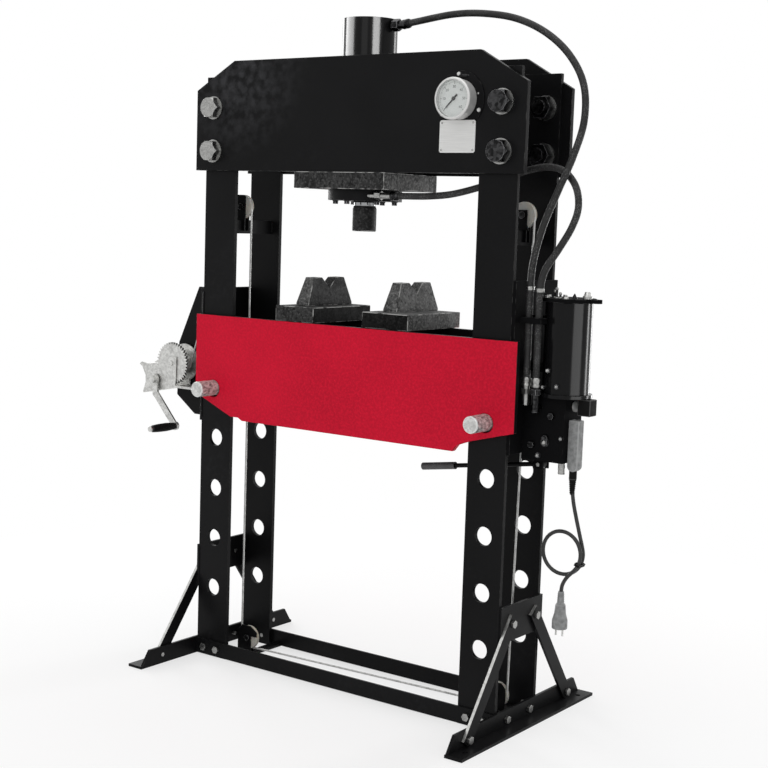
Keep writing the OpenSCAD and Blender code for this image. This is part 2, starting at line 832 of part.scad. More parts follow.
// Rope from the drum over the upper left sheave to the bed
module lift_rope() {
  color("#a9aaa8")
    tube(concat([[tail_at[0], tail_y, tail_at[1]]],
      arc([ul[0], sheave_z], ul[1], sheave_r, rope_dir + 90, 0, 12),
      [[lug_left, ul[1], lug_top + rest_gap]]), rope_r, 8);
}

// Rope that keeps the bed level: under the lower sheaves and over the upper right one
module level_rope() {
  color("#a9aaa8")
    tube(concat([[lug_left, ll[1], lug_low - rest_gap]],
      arc([ll[0], low_z], ll[1], sheave_r, 180, 270, 6),
      arc([lr[0], low_z], lr[1], sheave_r, 270, 360, 6),
      arc([ur[0], sheave_z], ur[1], sheave_r, 0, 180, 12),
      [[lug_right, ur[1], lug_top + rest_gap]]), rope_r, 8);
}

// Plate on the right uprights that carries the pump unit
module pump_bracket() {
  color("#1c1c1e") {
    box(bracket_x, block_x, -half_d, half_d, block_low + 15, tank_top + 49);
    for (z = [tank_low + 50, tank_low + 170])
      difference() {
        box(block_x, tank_c[0], -25, 25, z, z + 24);
        translate([tank_c[0], 0, z - 1])
          cylinder(d = tank_d, h = 26);
      }
    difference() {
      box(block_x, hose_x[1] + 16, hose_y - 16, hose_y + 16, clip_z, clip_z + 15);
      for (x = hose_x)
        translate([x, hose_y, clip_z - 1])
          cylinder(d = hose_d + 2 * hose_gap, h = 17);
    }
  }
}

// Pump and valve block with plugs on its front
module pump_block() {
  color("#232325")
    difference() {
      box(block_x, block_x + block_w, -45, 45, block_low, block_top);
      for (i = [0, 1])
        bar_y([hose_x[i], block_top - 12 - 16 * i], -46, -30, 14.6);
    }
  color("#c9c8c4") {
    for (p = [[70, 60], [84, 118], [30, 40]])
      translate([block_x + p[0], -45, block_low + p[1]])
        rotate([90, 0, 0])
          cylinder(d = 18, h = 9, $fn = 6);
  }
  color("#232325")
    for (y = [-17, 11])
      box(lever_c[0] - 13, lever_c[0] + 13, y, y + 6, lever_c[1] - 12, block_low);
  color("#c9c8c4") {
    bar_y(lever_c, -20, 20, 10);
    translate([block_x + block_w - 14, -22, block_low - 30])
      cylinder(d = 18, h = 30);
  }
}

// Round oil tank with its base flange
module oil_tank() {
  color("#161617") {
    translate([tank_c[0], 0, block_top])
      cylinder(d = tank_d + 16, h = 10);
    translate([tank_c[0], 0, tank_low])
      cylinder(d = tank_d, h = tank_h);
  }
}

// Tank lid with a tongue, filler cap and bolts
module tank_lid() {
  color("#1c1c1e") {
    translate([tank_c[0], 0, tank_top])
      cylinder(d = tank_d + 16, h = 10);
    box(tank_c[0], lid_x, -15, 15, tank_top, tank_top + 10);
    translate([lid_x, 0, tank_top])
      cylinder(d = 30, h = 10);
  }
  color("#c9c8c4") {
    translate([tank_c[0] + 50, 0, tank_top + 10])
      cylinder(d = 24, h = 8);
    translate([tank_c[0] + 50, 0, tank_top + 18])
      cylinder(d1 = 20, d2 = 14, h = 10);
    for (a = [70, 130, 180, 230, 290])
      translate([tank_c[0] + 60 * cos(a), 60 * sin(a), tank_top + 10])
        cylinder(d = 13, h = 5, $fn = 6);
  }
}

// Solenoid coil on its core beside the block
module solenoid() {
  color("#c9c8c4")
    bar_x(5, block_top - 22, block_x + block_w, coil_x, 28);
  color("#161617")
    box(coil_x, coil_x + 36, -13, 23, block_top - 43, block_top - 1);
}

// Grey switch box with a round lower end and its cable gland
module switch_box() {
  x0 = block_x + block_w;
  color("#bfc0bd") {
    box(x0, x0 + box_w, -22, 6, box_low, box_top);
    bar_y([x0 + box_w / 2, box_low], -22, 6, box_w);
  }
  color("#2a2a2c")
    translate([lead_x, lead_top[1], lead_top[2]])
      cylinder(d = 20, h = box_low - lead_top[2] - 4);
}

// Silver unions and elbows at the hose ends
module hose_fittings() {
  color("#d0d0cc") {
    bar_x(0, upper_port[2], cyl_x + 40, upper_port[0], 20);
    translate([cyl_x + barrel_d / 2 + 4, 0, upper_port[2]])
      rotate([0, 90, 0])
        cylinder(d = 34, h = 20, $fn = 6);
    bar_x(-70, lower_port[2], cyl_x + 50, lower_port[0], 16);
    translate([cyl_x + 90, -70, lower_port[2]])
      rotate([0, 90, 0])
        cylinder(d = 26, h = 18, $fn = 6);
    for (i = [0, 1])
      let (z = block_top - 12 - 16 * i) {
        translate([hose_x[i], hose_y, z - 10])
          cylinder(d = 20, h = block_top + 25 - z + 10);
        bar_y([hose_x[i], z], hose_y, -32, 14);
        translate([hose_x[i], hose_y, block_top + 6])
          cylinder(d = 27, h = 14, $fn = 6);
      }
  }
}

// Valve lever that reaches between the uprights to the operator's side
module control_lever() {
  color("#1c1c1e")
    translate([lever_c[0], 0, lever_c[1]])
      rotate([0, -lever_tilt, 0]) {
        difference() {
          union() {
            rotate([90, 0, 0])
              translate([0, 0, -9])
                cylinder(d = 24, h = 18);
            bar_x(0, 0, -270, -9, 12);
          }
          rotate([90, 0, 0])
            translate([0, 0, -10])
              cylinder(d = 10 + 2 * run_fit, h = 20);
        }
      }
  color("#8a8b8c")
    translate([lever_c[0], 0, lever_c[1]])
      rotate([0, -lever_tilt, 0])
        bar_x(0, 0, -372, -265, 20);
}

module hose_upper() {
  color("#222224")
    tube(spline(upper_route, 3), hose_d / 2, 10);
}

module hose_lower() {
  color("#222224")
    tube(spline(lower_route, 3), hose_d / 2, 10);
}

lead_points = spline(lead_route, 2);
function self_gap(p, d, skip) = min([for (i = [0:len(p) - 1 - skip]) for (j = [i + skip:len(p) - 1])
  norm(p[i] - p[j])]) - d;
echo(lead_self_gap = self_gap(lead_points, lead_d, 10));

// Mains lead with its single hanging loop
module mains_lead() {
  color("#222224")
    tube(lead_points, lead_d / 2, 8);
}

// Strap round the two strands where the loop is gathered
module lead_tie() {
  color("#161617")
    translate([loop_at(tie_a)[0], (loop_y[0] + loop_y[1]) / 2, loop_at(tie_a)[2]])
      rotate([0, -tie_a, 0])
        difference() {
          tie_box(2.5, 8);
          tie_box(0, 10);
        }
}

module tie_box(wall, h) {
  w = lead_d / 2 + hose_gap + wall;
  d = (loop_y[0] - loop_y[1]) / 2 + w + 1;
  box(-w, w, -d, d, -h / 2, h / 2);
}

// Moulded plug with two round pins
module mains_plug() {
  color("#9b9c9c")
    translate([plug_at[0], plug_at[1], plug_at[2] - 387]) {
      rotate_extrude()
        polygon([[0, 290], [19, 290], [20, 292], [20, 312], [15, 330], [13, 352], [9, 358], [7.5, 387],
          [0, 387]]);
      for (x = [-9.5, 9.5])
        translate([x, 0, 271])
          cylinder(d = 4.8, h = 20);
    }
}

upright(-1, -1);  // upright_front_left
upright(1, -1);  // upright_front_right
upright(-1, 1);  // upright_rear_left
upright(1, 1);  // upright_rear_right
head_plate(-1);  // head_plate_front
head_plate(1);  // head_plate_rear
head_bolts();
bearing_plate();
gland_flange();
cylinder_barrel();
ram();
ram_tip();
gauge_case();
gauge_dial();
gauge_needle();
gauge_glass();
label_plate();
foot(-1);  // foot_left
foot(1);  // foot_right
braces();
cross_bars();
side_ties();
sheave_carriers();
frame_bolts();
sheave_axles();
sheave(ul, sheave_z);  // sheave_upper_left
sheave(ur, sheave_z);  // sheave_upper_right
sheave(ll, low_z);  // sheave_lower_left
sheave(lr, low_z);  // sheave_lower_right
bed_plate(-1);  // bed_plate_front
bed_plate(1);  // bed_plate_rear
bed_webs();
pin(-hole_line);  // pin_left
pin(hole_line);  // pin_right
press_plate(left_x, 135, 6, 29);  // press_plate_left
press_plate(right_x, 152, 16, 26);  // press_plate_right
vee_block(left_x + 28, 40);  // vee_block_left
vee_block(right_x + 33, 45);  // vee_block_right
winch_mount();
winch_frame();
winch_drum();
rope_winding();
winch_pinion();
crank_arm();
crank_grip();
lift_rope();
level_rope();
pump_bracket();
pump_block();
oil_tank();
tank_lid();
solenoid();
switch_box();
hose_fittings();
control_lever();
hose_upper();
hose_lower();
mains_lead();
lead_tie();
mains_plug();
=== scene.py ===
"""Hydraulic workshop press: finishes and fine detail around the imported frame."""

import json
import math

import bmesh
import bpy
from bpy.props import FloatProperty, FloatVectorProperty, PointerProperty
from mathutils import Matrix, Vector


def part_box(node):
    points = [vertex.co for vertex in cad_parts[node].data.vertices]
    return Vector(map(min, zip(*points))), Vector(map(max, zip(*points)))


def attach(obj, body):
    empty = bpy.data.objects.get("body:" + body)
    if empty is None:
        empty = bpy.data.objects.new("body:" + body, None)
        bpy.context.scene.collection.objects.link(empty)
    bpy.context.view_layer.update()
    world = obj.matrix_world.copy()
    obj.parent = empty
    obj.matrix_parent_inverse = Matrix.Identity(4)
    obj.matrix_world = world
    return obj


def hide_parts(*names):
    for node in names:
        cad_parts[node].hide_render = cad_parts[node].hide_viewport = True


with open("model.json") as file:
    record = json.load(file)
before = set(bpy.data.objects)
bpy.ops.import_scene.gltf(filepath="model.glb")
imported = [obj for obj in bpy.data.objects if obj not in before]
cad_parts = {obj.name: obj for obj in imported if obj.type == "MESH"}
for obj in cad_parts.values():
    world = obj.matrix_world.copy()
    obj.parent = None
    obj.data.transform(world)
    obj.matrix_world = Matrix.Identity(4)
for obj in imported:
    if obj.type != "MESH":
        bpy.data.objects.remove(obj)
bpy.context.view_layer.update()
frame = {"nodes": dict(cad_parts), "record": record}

bl_info = {
    "name": "Workshop Press",
    "version": (1, 0, 0),
    "blender": (4, 5, 0),
    "location": "View3D > Sidebar > Press",
    "description": "Paint, plating, rope, rubber and small fittings of a hydraulic workshop press",
    "category": "Object",
}

MM = 0.001
SHARP = math.radians(28)
FLAT = math.radians(0.5)
HEX_ROUND = 0.8 * MM
PLATE_ROUND = 0.4 * MM
BEAD_STEP = 2.6 * MM
MERGE = 1e-6
CAD_MERGE = 1e-5
BODY_OF = {n: b for b, nodes in frame["record"]["behaviour"]["bodies"].items() for n in nodes}


def mm(x, y, z):
    """Point given in millimetres."""
    return Vector((x, y, z)) * MM


def centre(node):
    """Middle of a node's box."""
    low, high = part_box(node)
    return (low + high) / 2


# ---------------------------------------------------------------- values a user may change


def length(name, description, default):
    return FloatProperty(
        name=name, description=description, default=default, min=0.0, unit="LENGTH"
    )


def colour(name, description, default):
    return FloatVectorProperty(
        name=name,
        description=description,
        default=default,
        size=3,
        min=0.0,
        max=1.0,
        subtype="COLOR",
    )


class PressSizes(bpy.types.PropertyGroup):
    """Sizes of rounded edges, cords and small fittings."""

    edge_round: length("Edge rounding", "Radius on the edges of painted plate", 0.9 * MM)
    cast_round: length("Cast rounding", "Radius on the edges of cast blocks", 1.8 * MM)
    small_round: length("Small rounding", "Radius on bolts and other small pieces", 0.5 * MM)
    hose_diameter: length("Hose diameter", "Outside of the hydraulic hoses", 18 * MM)
    lead_diameter: length("Lead diameter", "Outside of the mains lead", 10 * MM)
    rope_diameter: length("Rope diameter", "Outside of the wire ropes", 6 * MM)
    rope_lay: length("Rope lay", "Length in which a strand goes once round", 42 * MM)
    weld_radius: length("Weld radius", "Radius of the weld beads", 3.2 * MM)


class PressColours(bpy.types.PropertyGroup):
    """Base colours of the finishes."""

    black: colour("Black enamel", "Frame and pump unit", (0.0040, 0.0040, 0.0043))
    red: colour("Red enamel", "Bed", (0.56, 0.0082, 0.030))
    zinc: colour("Zinc plate", "Bolts, winch and unions", (0.58, 0.58, 0.565))
    # the faint blue-green tint is painted against the red light the bed throws on the pins
    steel: colour("Turned steel", "Bed pins", (0.55, 0.57, 0.56))
    scale: colour("Mill scale", "Bearing plate and left blocks", (0.024, 0.024, 0.024))
    iron: colour("Cast iron", "Right blocks", (0.072, 0.072, 0.071))
    chrome: colour("Hard chrome", "Ram rod", (0.30, 0.305, 0.31))
    nylon: colour("White nylon", "Rope sheaves", (0.58, 0.575, 0.55))
    rope: colour("Wire rope", "Galvanised strands", (0.56, 0.56, 0.55))
    rubber: colour("Rubber", "Hoses and mains lead", (0.011, 0.011, 0.011))
    grey: colour("Grey plastic", "Switch box and plug", (0.30, 0.305, 0.305))
    dial: colour("Dial white", "Gauge face", (0.84, 0.84, 0.82))
    label: colour("Plate metal", "Bare label plate", (0.68, 0.68, 0.67))
    oxide: colour("Black oxide", "Dark bolts, axles and unions", (0.034, 0.034, 0.035))
    plastic: colour("Black plastic", "Crank grip, solenoid and seals", (0.007, 0.007, 0.007))
    grip: colour("Dark grip", "Grip of the valve lever", (0.085, 0.086, 0.088))
    ink: colour("Dial ink", "Scale and needle of the gauge", (0.010, 0.010, 0.010))
    glass: colour("Gauge glass", "Tint of the gauge's glass", (0.97, 0.99, 0.99))


# ---------------------------------------------------------------- finishes


class Finish:
    """Node-built material that reads a piece's own coordinates."""

    def __init__(self, name, **constants):
        self.material = bpy.data.materials.new(name)
        self.material.use_nodes = True
        self.tree = self.material.node_tree
        self.shader = self.tree.nodes["Principled BSDF"]
        for key, value in constants.items():
            self.shader.inputs[key.replace("_", " ")].default_value = value

    def add(self, kind, inputs=(), **settings):
        node = self.tree.nodes.new("ShaderNode" + kind)
        for key, value in settings.items():
            setattr(node, key, value)
        for key, value in dict(inputs).items():
            self.feed(node.inputs[key], value)
        return node

    def feed(self, socket, value):
        if isinstance(value, bpy.types.NodeSocket):
            self.tree.links.new(value, socket)
        else:
            socket.default_value = value

    def place(self, stretch=None, kind="Object"):
        source = self.add("TexCoord").outputs[kind]
        if not stretch:
            return source
        return self.add("Mapping", {"Vector": source, "Scale": stretch}).outputs["Vector"]

    def noise(self, scale, detail, stretch=None):
        inputs = {"Vector": self.place(stretch), "Scale": scale, "Detail": detail}
        return self.add("TexNoise", inputs).outputs["Fac"]

    def voronoi(self, scale, stretch=None):
        return self.add("TexVoronoi", {"Vector": self.place(stretch), "Scale": scale}).outputs

    def cells(self, scale):
        shades = self.voronoi(scale)["Color"]
        return self.add("SeparateColor", {"Color": shades}).outputs[0]

    def span(self, value, low, high, bottom=0.0, top=1.0):
        """Value carried from one range to another, held at both ends."""
        inputs = {"Value": value, "From Min": low, "From Max": high}
        inputs.update({"To Min": bottom, "To Max": top})
        return self.add("MapRange", inputs).outputs["Result"]

    def times(self, a, b):
        return self.add("Math", {0: a, 1: b}, operation="MULTIPLY").outputs[0]

    def blend(self, factor, a, b):
        return self.add("Mix", {0: factor, 6: a, 7: b}, data_type="RGBA").outputs[2]

    def edge(self):
        """One on the faces that soften has made, where paint wears and where some finishes paint a
        highlight.
        """
        return self.add("Attribute", attribute_name="edge").outputs["Fac"]

    def base(self, value):
        self.feed(self.shader.inputs["Base Color"], value)

    def rough(self, value):
        self.feed(self.shader.inputs["Roughness"], value)

    def bump(self, height, strength, depth):
        inputs = {"Height": height, "Strength": strength, "Distance": depth * MM}
        self.feed(self.shader.inputs["Normal"], self.add("Bump", inputs).outputs["Normal"])


def shade(rgb, factor=1.0):
    """Colour made lighter or darker, with its alpha."""
    return tuple(min(1.0, c * factor) for c in rgb) + (1.0,)


BARE_STEEL = (0.06, 0.06, 0.058, 1.0)
BARE_DARK = (0.05, 0.05, 0.05, 1.0)
BARE_RED = (0.20, 0.012, 0.018, 1.0)
BRIGHT_IRON = (0.42, 0.42, 0.41, 1.0)
DUST_SPOT = mm(-400, -120, 1720)


def enamel(name, rgb, specular, low, high, bare, lift=1.7, dusty=0.5, cloud=None):
    """Sprayed enamel with a cloudy tone, orange peel and chips along the edges.

    low and high bound the roughness, cloud is the middle of a patch of dust.
    """
    f = Finish(name, Specular_IOR_Level=specular)
    tone = f.blend(f.span(f.noise(3.5, 5), 0.3, 0.7), shade(rgb, 0.85), shade(rgb, lift))
    grain = f.span(f.noise(150, 4), 0.4, 0.65)
    tone = f.blend(f.times(grain, 0.35), tone, shade(rgb, 1 + lift / 2))
    if cloud:
        away = f.add("VectorMath", {0: f.place(), 1: cloud}, operation="DISTANCE").outputs["Value"]
        patch = f.times(f.span(away, 0.26, 0.04), f.span(f.noise(40, 8), 0.38, 0.66))
        tone = f.blend(patch, tone, shade(rgb, 10.0))
    specks = f.span(f.noise(260, 2), 0.66, 0.76)
    tone = f.blend(f.times(specks, 0.4), tone, shade(rgb, 3.0))
    dust = f.times(f.span(f.noise(4.5, 3), 0.56, 0.75), f.span(f.noise(70, 6), 0.45, 0.7))
    tone = f.blend(f.times(dust, dusty), tone, shade(rgb, 5.0))
    chips = f.times(f.edge(), f.span(f.noise(55, 6), 0.5, 0.62))
    f.base(f.blend(chips, tone, bare))
    f.rough(f.span(f.noise(11, 6), 0.3, 0.7, low, high))
    f.bump(f.noise(420, 2), 0.10, 0.4)
    return f.material


def black_enamel(colours):
    return enamel("black_enamel", colours.black, 0.08, 0.30, 0.46, BARE_STEEL)


def head_enamel(colours):
    name = "head_black_enamel"
    return enamel(name, colours.black, 0.08, 0.30, 0.46, BARE_STEEL, cloud=DUST_SPOT)


def gloss_enamel(colours):
    return enamel("gloss_black_enamel", colours.black, 0.11, 0.12, 0.2, BARE_DARK)


def matt_enamel(colours):
    return enamel("matt_black_enamel", colours.black, 0.015, 0.5, 0.7, BARE_DARK)


def red_enamel(colours):
    return enamel("red_enamel", colours.red, 0.06, 0.34, 0.46, BARE_RED, lift=1.1, dusty=0.0)


def plated(name, rgb, low, high, spangle, contrast, rim=1.35):
    """Plated metal with faint crystal patches and lighter edges: rubbed wear at a small rim, a
    painted highlight at a large one.
    """
    f = Finish(name, Metallic=1.0)
    dull, bright = shade(rgb, 1 - contrast), shade(rgb, 1 + contrast)
    patches = f.blend(f.span(f.cells(spangle), 0.1, 0.9), dull, bright)
    grime = f.span(f.noise(40, 6), 0.52, 0.75)
    tone = f.blend(f.times(grime, 0.45), patches, shade(rgb, 0.35))
    f.base(f.blend(f.times(f.edge(), 0.6), tone, shade(rgb, rim)))
    f.rough(f.span(f.noise(70, 5), 0.3, 0.7, low, high))
    f.bump(f.noise(500, 3), 0.12, 0.25)
    return f.material


def zinc_plate(colours):
    return plated("zinc_plate", colours.zinc, 0.32, 0.52, 180, 0.14)


def bolt_zinc(colours):
    return plated("bolt_zinc", shade(colours.zinc, 0.6)[:3], 0.24, 0.42, 300, 0.16)


def black_oxide(colours):
    # rim 14 paints the rounded edges many times lighter than the faces: a painted highlight along
    # the rims
    return plated("black_oxide", colours.oxide, 0.26, 0.44, 150, 0.6, rim=14.0)


def turned_steel(colours):
    """Turned bar: fine rings along its length, with bright and dull streaks that are partly marks
    on the bar and partly painted reflections.
    """
    f = Finish("turned_steel", Metallic=0.3)
    rings = f.noise(1.0, 4, (4, 420, 4))
    marks_and_reflections = f.noise(1.0, 5, (140, 90, 140))
    bright, dull = shade(colours.steel, 1.25), shade(colours.steel, 0.3)
    # bright and dull streaks along the pin: partly marks, partly painted reflection
    tone = f.blend(f.span(marks_and_reflections, 0.4, 0.66), bright, dull)
    f.base(f.blend(f.times(f.edge(), 0.6), tone, shade(colours.steel, 1.5)))
    f.rough(f.span(rings, 0.3, 0.7, 0.24, 0.44))
    f.bump(rings, 0.18, 0.15)
    return f.material


def scaled(name, rgb, specular):
    """Dark scaled iron: fine light speckle, blotches, broken bright edges."""
    f = Finish(name, Specular_IOR_Level=specular)
    blotch = f.blend(f.span(f.noise(26, 8), 0.36, 0.66), shade(rgb, 0.55), shade(rgb, 1.7))
    grit = f.span(f.noise(150, 3), 0.5, 0.62)
    speckle = f.blend(f.times(grit, 0.6), blotch, shade(rgb, 3.4))
    pits = f.span(f.noise(115, 4), 0.55, 0.64)
    speckle = f.blend(f.times(pits, 0.85), speckle, shade(rgb, 0.15))
    worn = f.times(f.edge(), f.span(f.noise(42, 6), 0.43, 0.56))
    f.base(f.blend(worn, speckle, BRIGHT_IRON))
    f.rough(f.span(f.noise(60, 6), 0.3, 0.7, 0.5, 0.75))
    f.bump(f.noise(240, 6), 0.4, 0.7)
    return f.material


def mill_scale(colours):
    return scaled("mill_scale", colours.scale, 0.14)


# Darker, duller copy of mill scale: painted shade for faces turned from the light
def dark_scale(colours):
    return scaled("dark_scale", shade(colours.scale, 0.3)[:3], 0.06)


def cast_iron(colours):
    return scaled("cast_iron", colours.iron, 0.18)


def hard_chrome(colours):
    """Ground and plated rod with faint lengthwise lines."""
    f = Finish("hard_chrome", Metallic=1.0)
    lines = f.noise(1.0, 3, (700, 700, 6))
    dull, bright = shade(colours.chrome, 0.92), shade(colours.chrome, 1.04)
    f.base(f.blend(f.span(lines, 0.35, 0.65), dull, bright))
    f.rough(f.span(lines, 0.3, 0.7, 0.07, 0.14))
    f.bump(lines, 0.04, 0.05)
    return f.material


def white_nylon(colours):
    """Moulded nylon, slightly yellowed, with rope dirt."""
    depth = {"Subsurface_Weight": 0.08, "Subsurface_Scale": 2 * MM}
    f = Finish("white_nylon", Specular_IOR_Level=0.4, **depth)
    yellowed, soiled = (0.62, 0.58, 0.49, 1.0), (0.22, 0.20, 0.17, 1.0)
    tone = f.blend(f.span(f.noise(30, 5), 0.35, 0.7), shade(colours.nylon), yellowed)
    dirt = f.span(f.noise(90, 7), 0.56, 0.75)
    f.base(f.blend(f.times(dirt, 0.5), tone, soiled))
    f.rough(f.span(f.noise(50, 4), 0.3, 0.7, 0.38, 0.56))
    f.bump(f.noise(600, 2), 0.08, 0.2)
    return f.material


def wire_rope(colours):
    """Galvanised strands with single wires and dull grease."""
    f = Finish("wire_rope", Metallic=0.5)
    wires = f.add("TexWave", {"Vector": f.place(kind="UV"), "Scale": 1.0}).outputs["Fac"]
    grease = f.span(f.noise(60, 5), 0.46, 0.7)
    clean, greased = shade(colours.rope, 1.15), shade(colours.rope, 0.4)
    tone = f.blend(f.times(grease, 0.6), clean, greased)
    f.base(f.blend(f.times(wires, 0.25), tone, shade(colours.rope, 0.5)))
    f.rough(f.span(f.noise(200, 3), 0.3, 0.7, 0.34, 0.55))
    f.bump(f.noise(900, 2), 0.3, 0.2)
    return f.material


def hose_cover(colours):
    """Wrapped hose cover: pale crossings of the cloth wrap, partly painted glints, and chalky rub
    marks, partly a painted sheen.
    """
    f = Finish("hose_cover", Specular_IOR_Level=0.2)
    cells = f.voronoi(290, (1, 1, 0.7))["Distance"]
    # pale crossings of the wrap: partly its weave, partly painted glints
    weave_and_glints = f.times(f.span(cells, 0.5, 0.15), f.span(f.noise(30, 5), 0.4, 0.62))
    rub = f.span(f.noise(18, 6), 0.5, 0.72)
    # the cover is lifted to twice the rubber and made chalky in patches: partly rub marks, partly a
    # painted sheen
    clean, chalk_and_sheen = shade(colours.rubber, 2.0), shade(colours.rubber, 5.0)
    tone = f.blend(f.times(rub, 0.5), clean, chalk_and_sheen)
    f.base(f.blend(f.times(weave_and_glints, 0.7), tone, shade(colours.rubber, 15.0)))
    f.rough(f.span(f.noise(90, 5), 0.3, 0.7, 0.34, 0.56))
    f.bump(cells, 0.45, 0.5)
    return f.material


def lead_cover(colours):
    """Smooth rubber sheath with faint extrusion marks."""
    f = Finish("lead_cover", Specular_IOR_Level=0.45)
    streaks = f.noise(1.0, 4, (260, 260, 20))
    pale = shade(colours.rubber, 2.6)
    f.base(f.blend(f.span(streaks, 0.4, 0.7), shade(colours.rubber), pale))
    f.rough(f.span(f.noise(120, 4), 0.3, 0.7, 0.36, 0.52))
    f.bump(f.noise(800, 3), 0.12, 0.2)
    return f.material


def moulded(name, rgb, specular, low, high, soil, rim=1.5, grain=14):
    """Moulded plastic with spark-eroded grain and handled patches."""
    f = Finish(name, Specular_IOR_Level=specular)
    tone = f.blend(f.span(f.noise(grain, 5), 0.35, 0.68), shade(rgb, 1.05), shade(rgb, soil))
    f.base(f.blend(f.times(f.edge(), 0.5), tone, shade(rgb, rim)))
    f.rough(f.span(f.noise(45, 5), 0.3, 0.7, low, high))
    f.bump(f.noise(1100, 2), 0.22, 0.2)
    return f.material


def grey_plastic(colours):
    return moulded("grey_plastic", colours.grey, 0.35, 0.42, 0.58, 0.6, grain=90)


def black_plastic(colours):
    # rim 24 paints the rounded edges nearly white: a painted highlight along the rims of black
    # plastic
    return moulded("black_plastic", colours.plastic, 0.04, 0.4, 0.56, 1.6, rim=24.0)


def dark_grip(colours):
    return moulded("dark_grip", colours.grip, 0.35, 0.38, 0.55, 0.7)


def dial_face(colours):
    """Printed dial with a soft paper tone."""
    f = Finish("dial_face", Specular_IOR_Level=0.3)
    paper, shadow = shade(colours.dial), shade(colours.dial, 0.94)
    f.base(f.blend(f.span(f.noise(60, 4), 0.35, 0.7), paper, shadow))
    f.rough(f.span(f.noise(200, 2), 0.3, 0.7, 0.42, 0.55))
    return f.material


def dial_ink(colours):
    """Printed ink of the scale and the painted needle."""
    f = Finish("dial_ink", Specular_IOR_Level=0.3)
    f.base(f.blend(f.noise(300, 3), shade(colours.ink), shade(colours.ink, 2.0)))
    f.rough(f.span(f.noise(400, 2), 0.3, 0.7, 0.4, 0.6))
    return f.material


def plate_metal(colours):
    """Satin plate with a fine brushed grain."""
    f = Finish("plate_metal", Metallic=0.45, Specular_IOR_Level=0.4)
    grain = f.noise(1.0, 4, (18, 900, 900))
    dull, bright = shade(colours.label, 0.94), shade(colours.label, 1.06)
    f.base(f.blend(f.span(grain, 0.35, 0.65), dull, bright))
    f.rough(f.span(grain, 0.3, 0.7, 0.42, 0.55))
    f.bump(grain, 0.06, 0.05)
    return f.material


def gauge_glass(colours):
    """Flat clear glass with the faintest smear."""
    tint = shade(colours.glass)
    f = Finish("gauge_glass", Transmission_Weight=1.0, IOR=1.45, Base_Color=tint)
    f.rough(f.span(f.noise(25, 4), 0.4, 0.8, 0.0, 0.05))
    return f.material


FINISHES = {
    builder.__name__: builder
    for builder in (
        black_enamel,
        head_enamel,
        gloss_enamel,
        matt_enamel,
        red_enamel,
        zinc_plate,
        bolt_zinc,
        black_oxide,
        turned_steel,
        mill_scale,
        dark_scale,
        cast_iron,
        hard_chrome,
        white_nylon,
        wire_rope,
        hose_cover,
        lead_cover,
        grey_plastic,
        black_plastic,
        dark_grip,
        dial_face,
        dial_ink,
        plate_metal,
        gauge_glass,
    )
}
MADE = {}


def finish(key):
    """Material of that finish, made once."""
    if key not in MADE:
        MADE[key] = FINISHES[key](bpy.context.scene.press_colours)
    return MADE[key]


# ---------------------------------------------------------------- shapes


def catmull(points, steps):
    """Smooth route through points, as the solids follow it."""
    route, last = [], len(points) - 1
    for i in range(last):
        a, b = points[max(i - 1, 0)], points[i]
        c, d = points[i + 1], points[min(i + 2, last)]
        for k in range(steps):
            t = k / steps
            cubic = (3 * b - a - 3 * c + d) * t**3
            route.append(0.5 * (2 * b + (c - a) * t + (2 * a - 5 * b + 4 * c - d) * t**2 + cubic))
    return route + [points[last]]


def run_length(route):
    """Length along a route."""
    return sum((b - a).length for a, b in zip(route, route[1:]))


def evenly(route, step):
    """Points at an even spacing along a route, ends kept."""
    total = run_length(route)
    count = max(2, round(total / step))
    along, points = 0.0, [route[0].copy()]
    for a, b in zip(route, route[1:]):
        span = (b - a).length
        while len(points) < count and along + span >= total * len(points) / count:
            points.append(a.lerp(b, (total * len(points) / count - along) / span))
        along += span
    return points + [route[-1].copy()]


def solid_of(line):
    """Mesh of a curve or a text, its doubles merged."""
    carrier = bpy.data.objects.new(line.name, line)
    bpy.context.scene.collection.objects.link(carrier)
    bpy.context.view_layer.update()
    shown = carrier.evaluated_get(bpy.context.evaluated_depsgraph_get())
    mesh = bpy.data.meshes.new_from_object(shown)
    bpy.data.objects.remove(carrier)
    bm = bmesh.new()
    bm.from_mesh(mesh)
    bpy.data.meshes.remove(mesh)
    bmesh.ops.remove_doubles(bm, verts=bm.verts[:], dist=MERGE)
    return bm


def sweep(route, radius, sides=16, radii=None, section=None, turn=0.0):
    """Closed tube along a route; turn twists its section, in radians for each metre."""
    line = bpy.data.curves.new("route", "CURVE")
    line.dimensions = "3D"
    line.twist_mode = "MINIMUM"
    line.use_fill_caps = True
    spline = line.splines.new("POLY")
    spline.points.add(len(route) - 1)
    along = 0.0
    for i, (knot, point) in enumerate(zip(spline.points, route)):
        along += (point - route[i - 1]).length if i else 0.0
        knot.co = (*point, 1.0)
        knot.tilt = turn * along
        knot.radius = radii[i] if radii else 1.0
    if section:
        line.bevel_mode = "OBJECT"
        line.bevel_object = section
    else:
        line.bevel_depth = radius
        line.bevel_resolution = (sides - 4) // 2
    bm = solid_of(line)
    bmesh.ops.recalc_face_normals(bm, faces=bm.faces[:])
    return bm


def turned(profile, steps=32):
    """Solid turned from (radius, height) pairs in millimetres round Z."""
    bm = bmesh.new()
    weave_and_glints = [bm.verts.new((r * MM, 0, h * MM)) for r, h in profile]
    edges = [bm.edges.new(pair) for pair in zip(weave_and_glints, weave_and_glints[1:])]
    bmesh.ops.spin(
        bm,
        geom=weave_and_glints + edges,
        cent=(0, 0, 0),
        axis=(0, 0, 1),
        angle=2 * math.pi,
        steps=steps,
        use_merge=True,
    )
    bmesh.ops.remove_doubles(bm, verts=bm.verts[:], dist=MERGE)
    bmesh.ops.recalc_face_normals(bm, faces=bm.faces[:])
    return bm


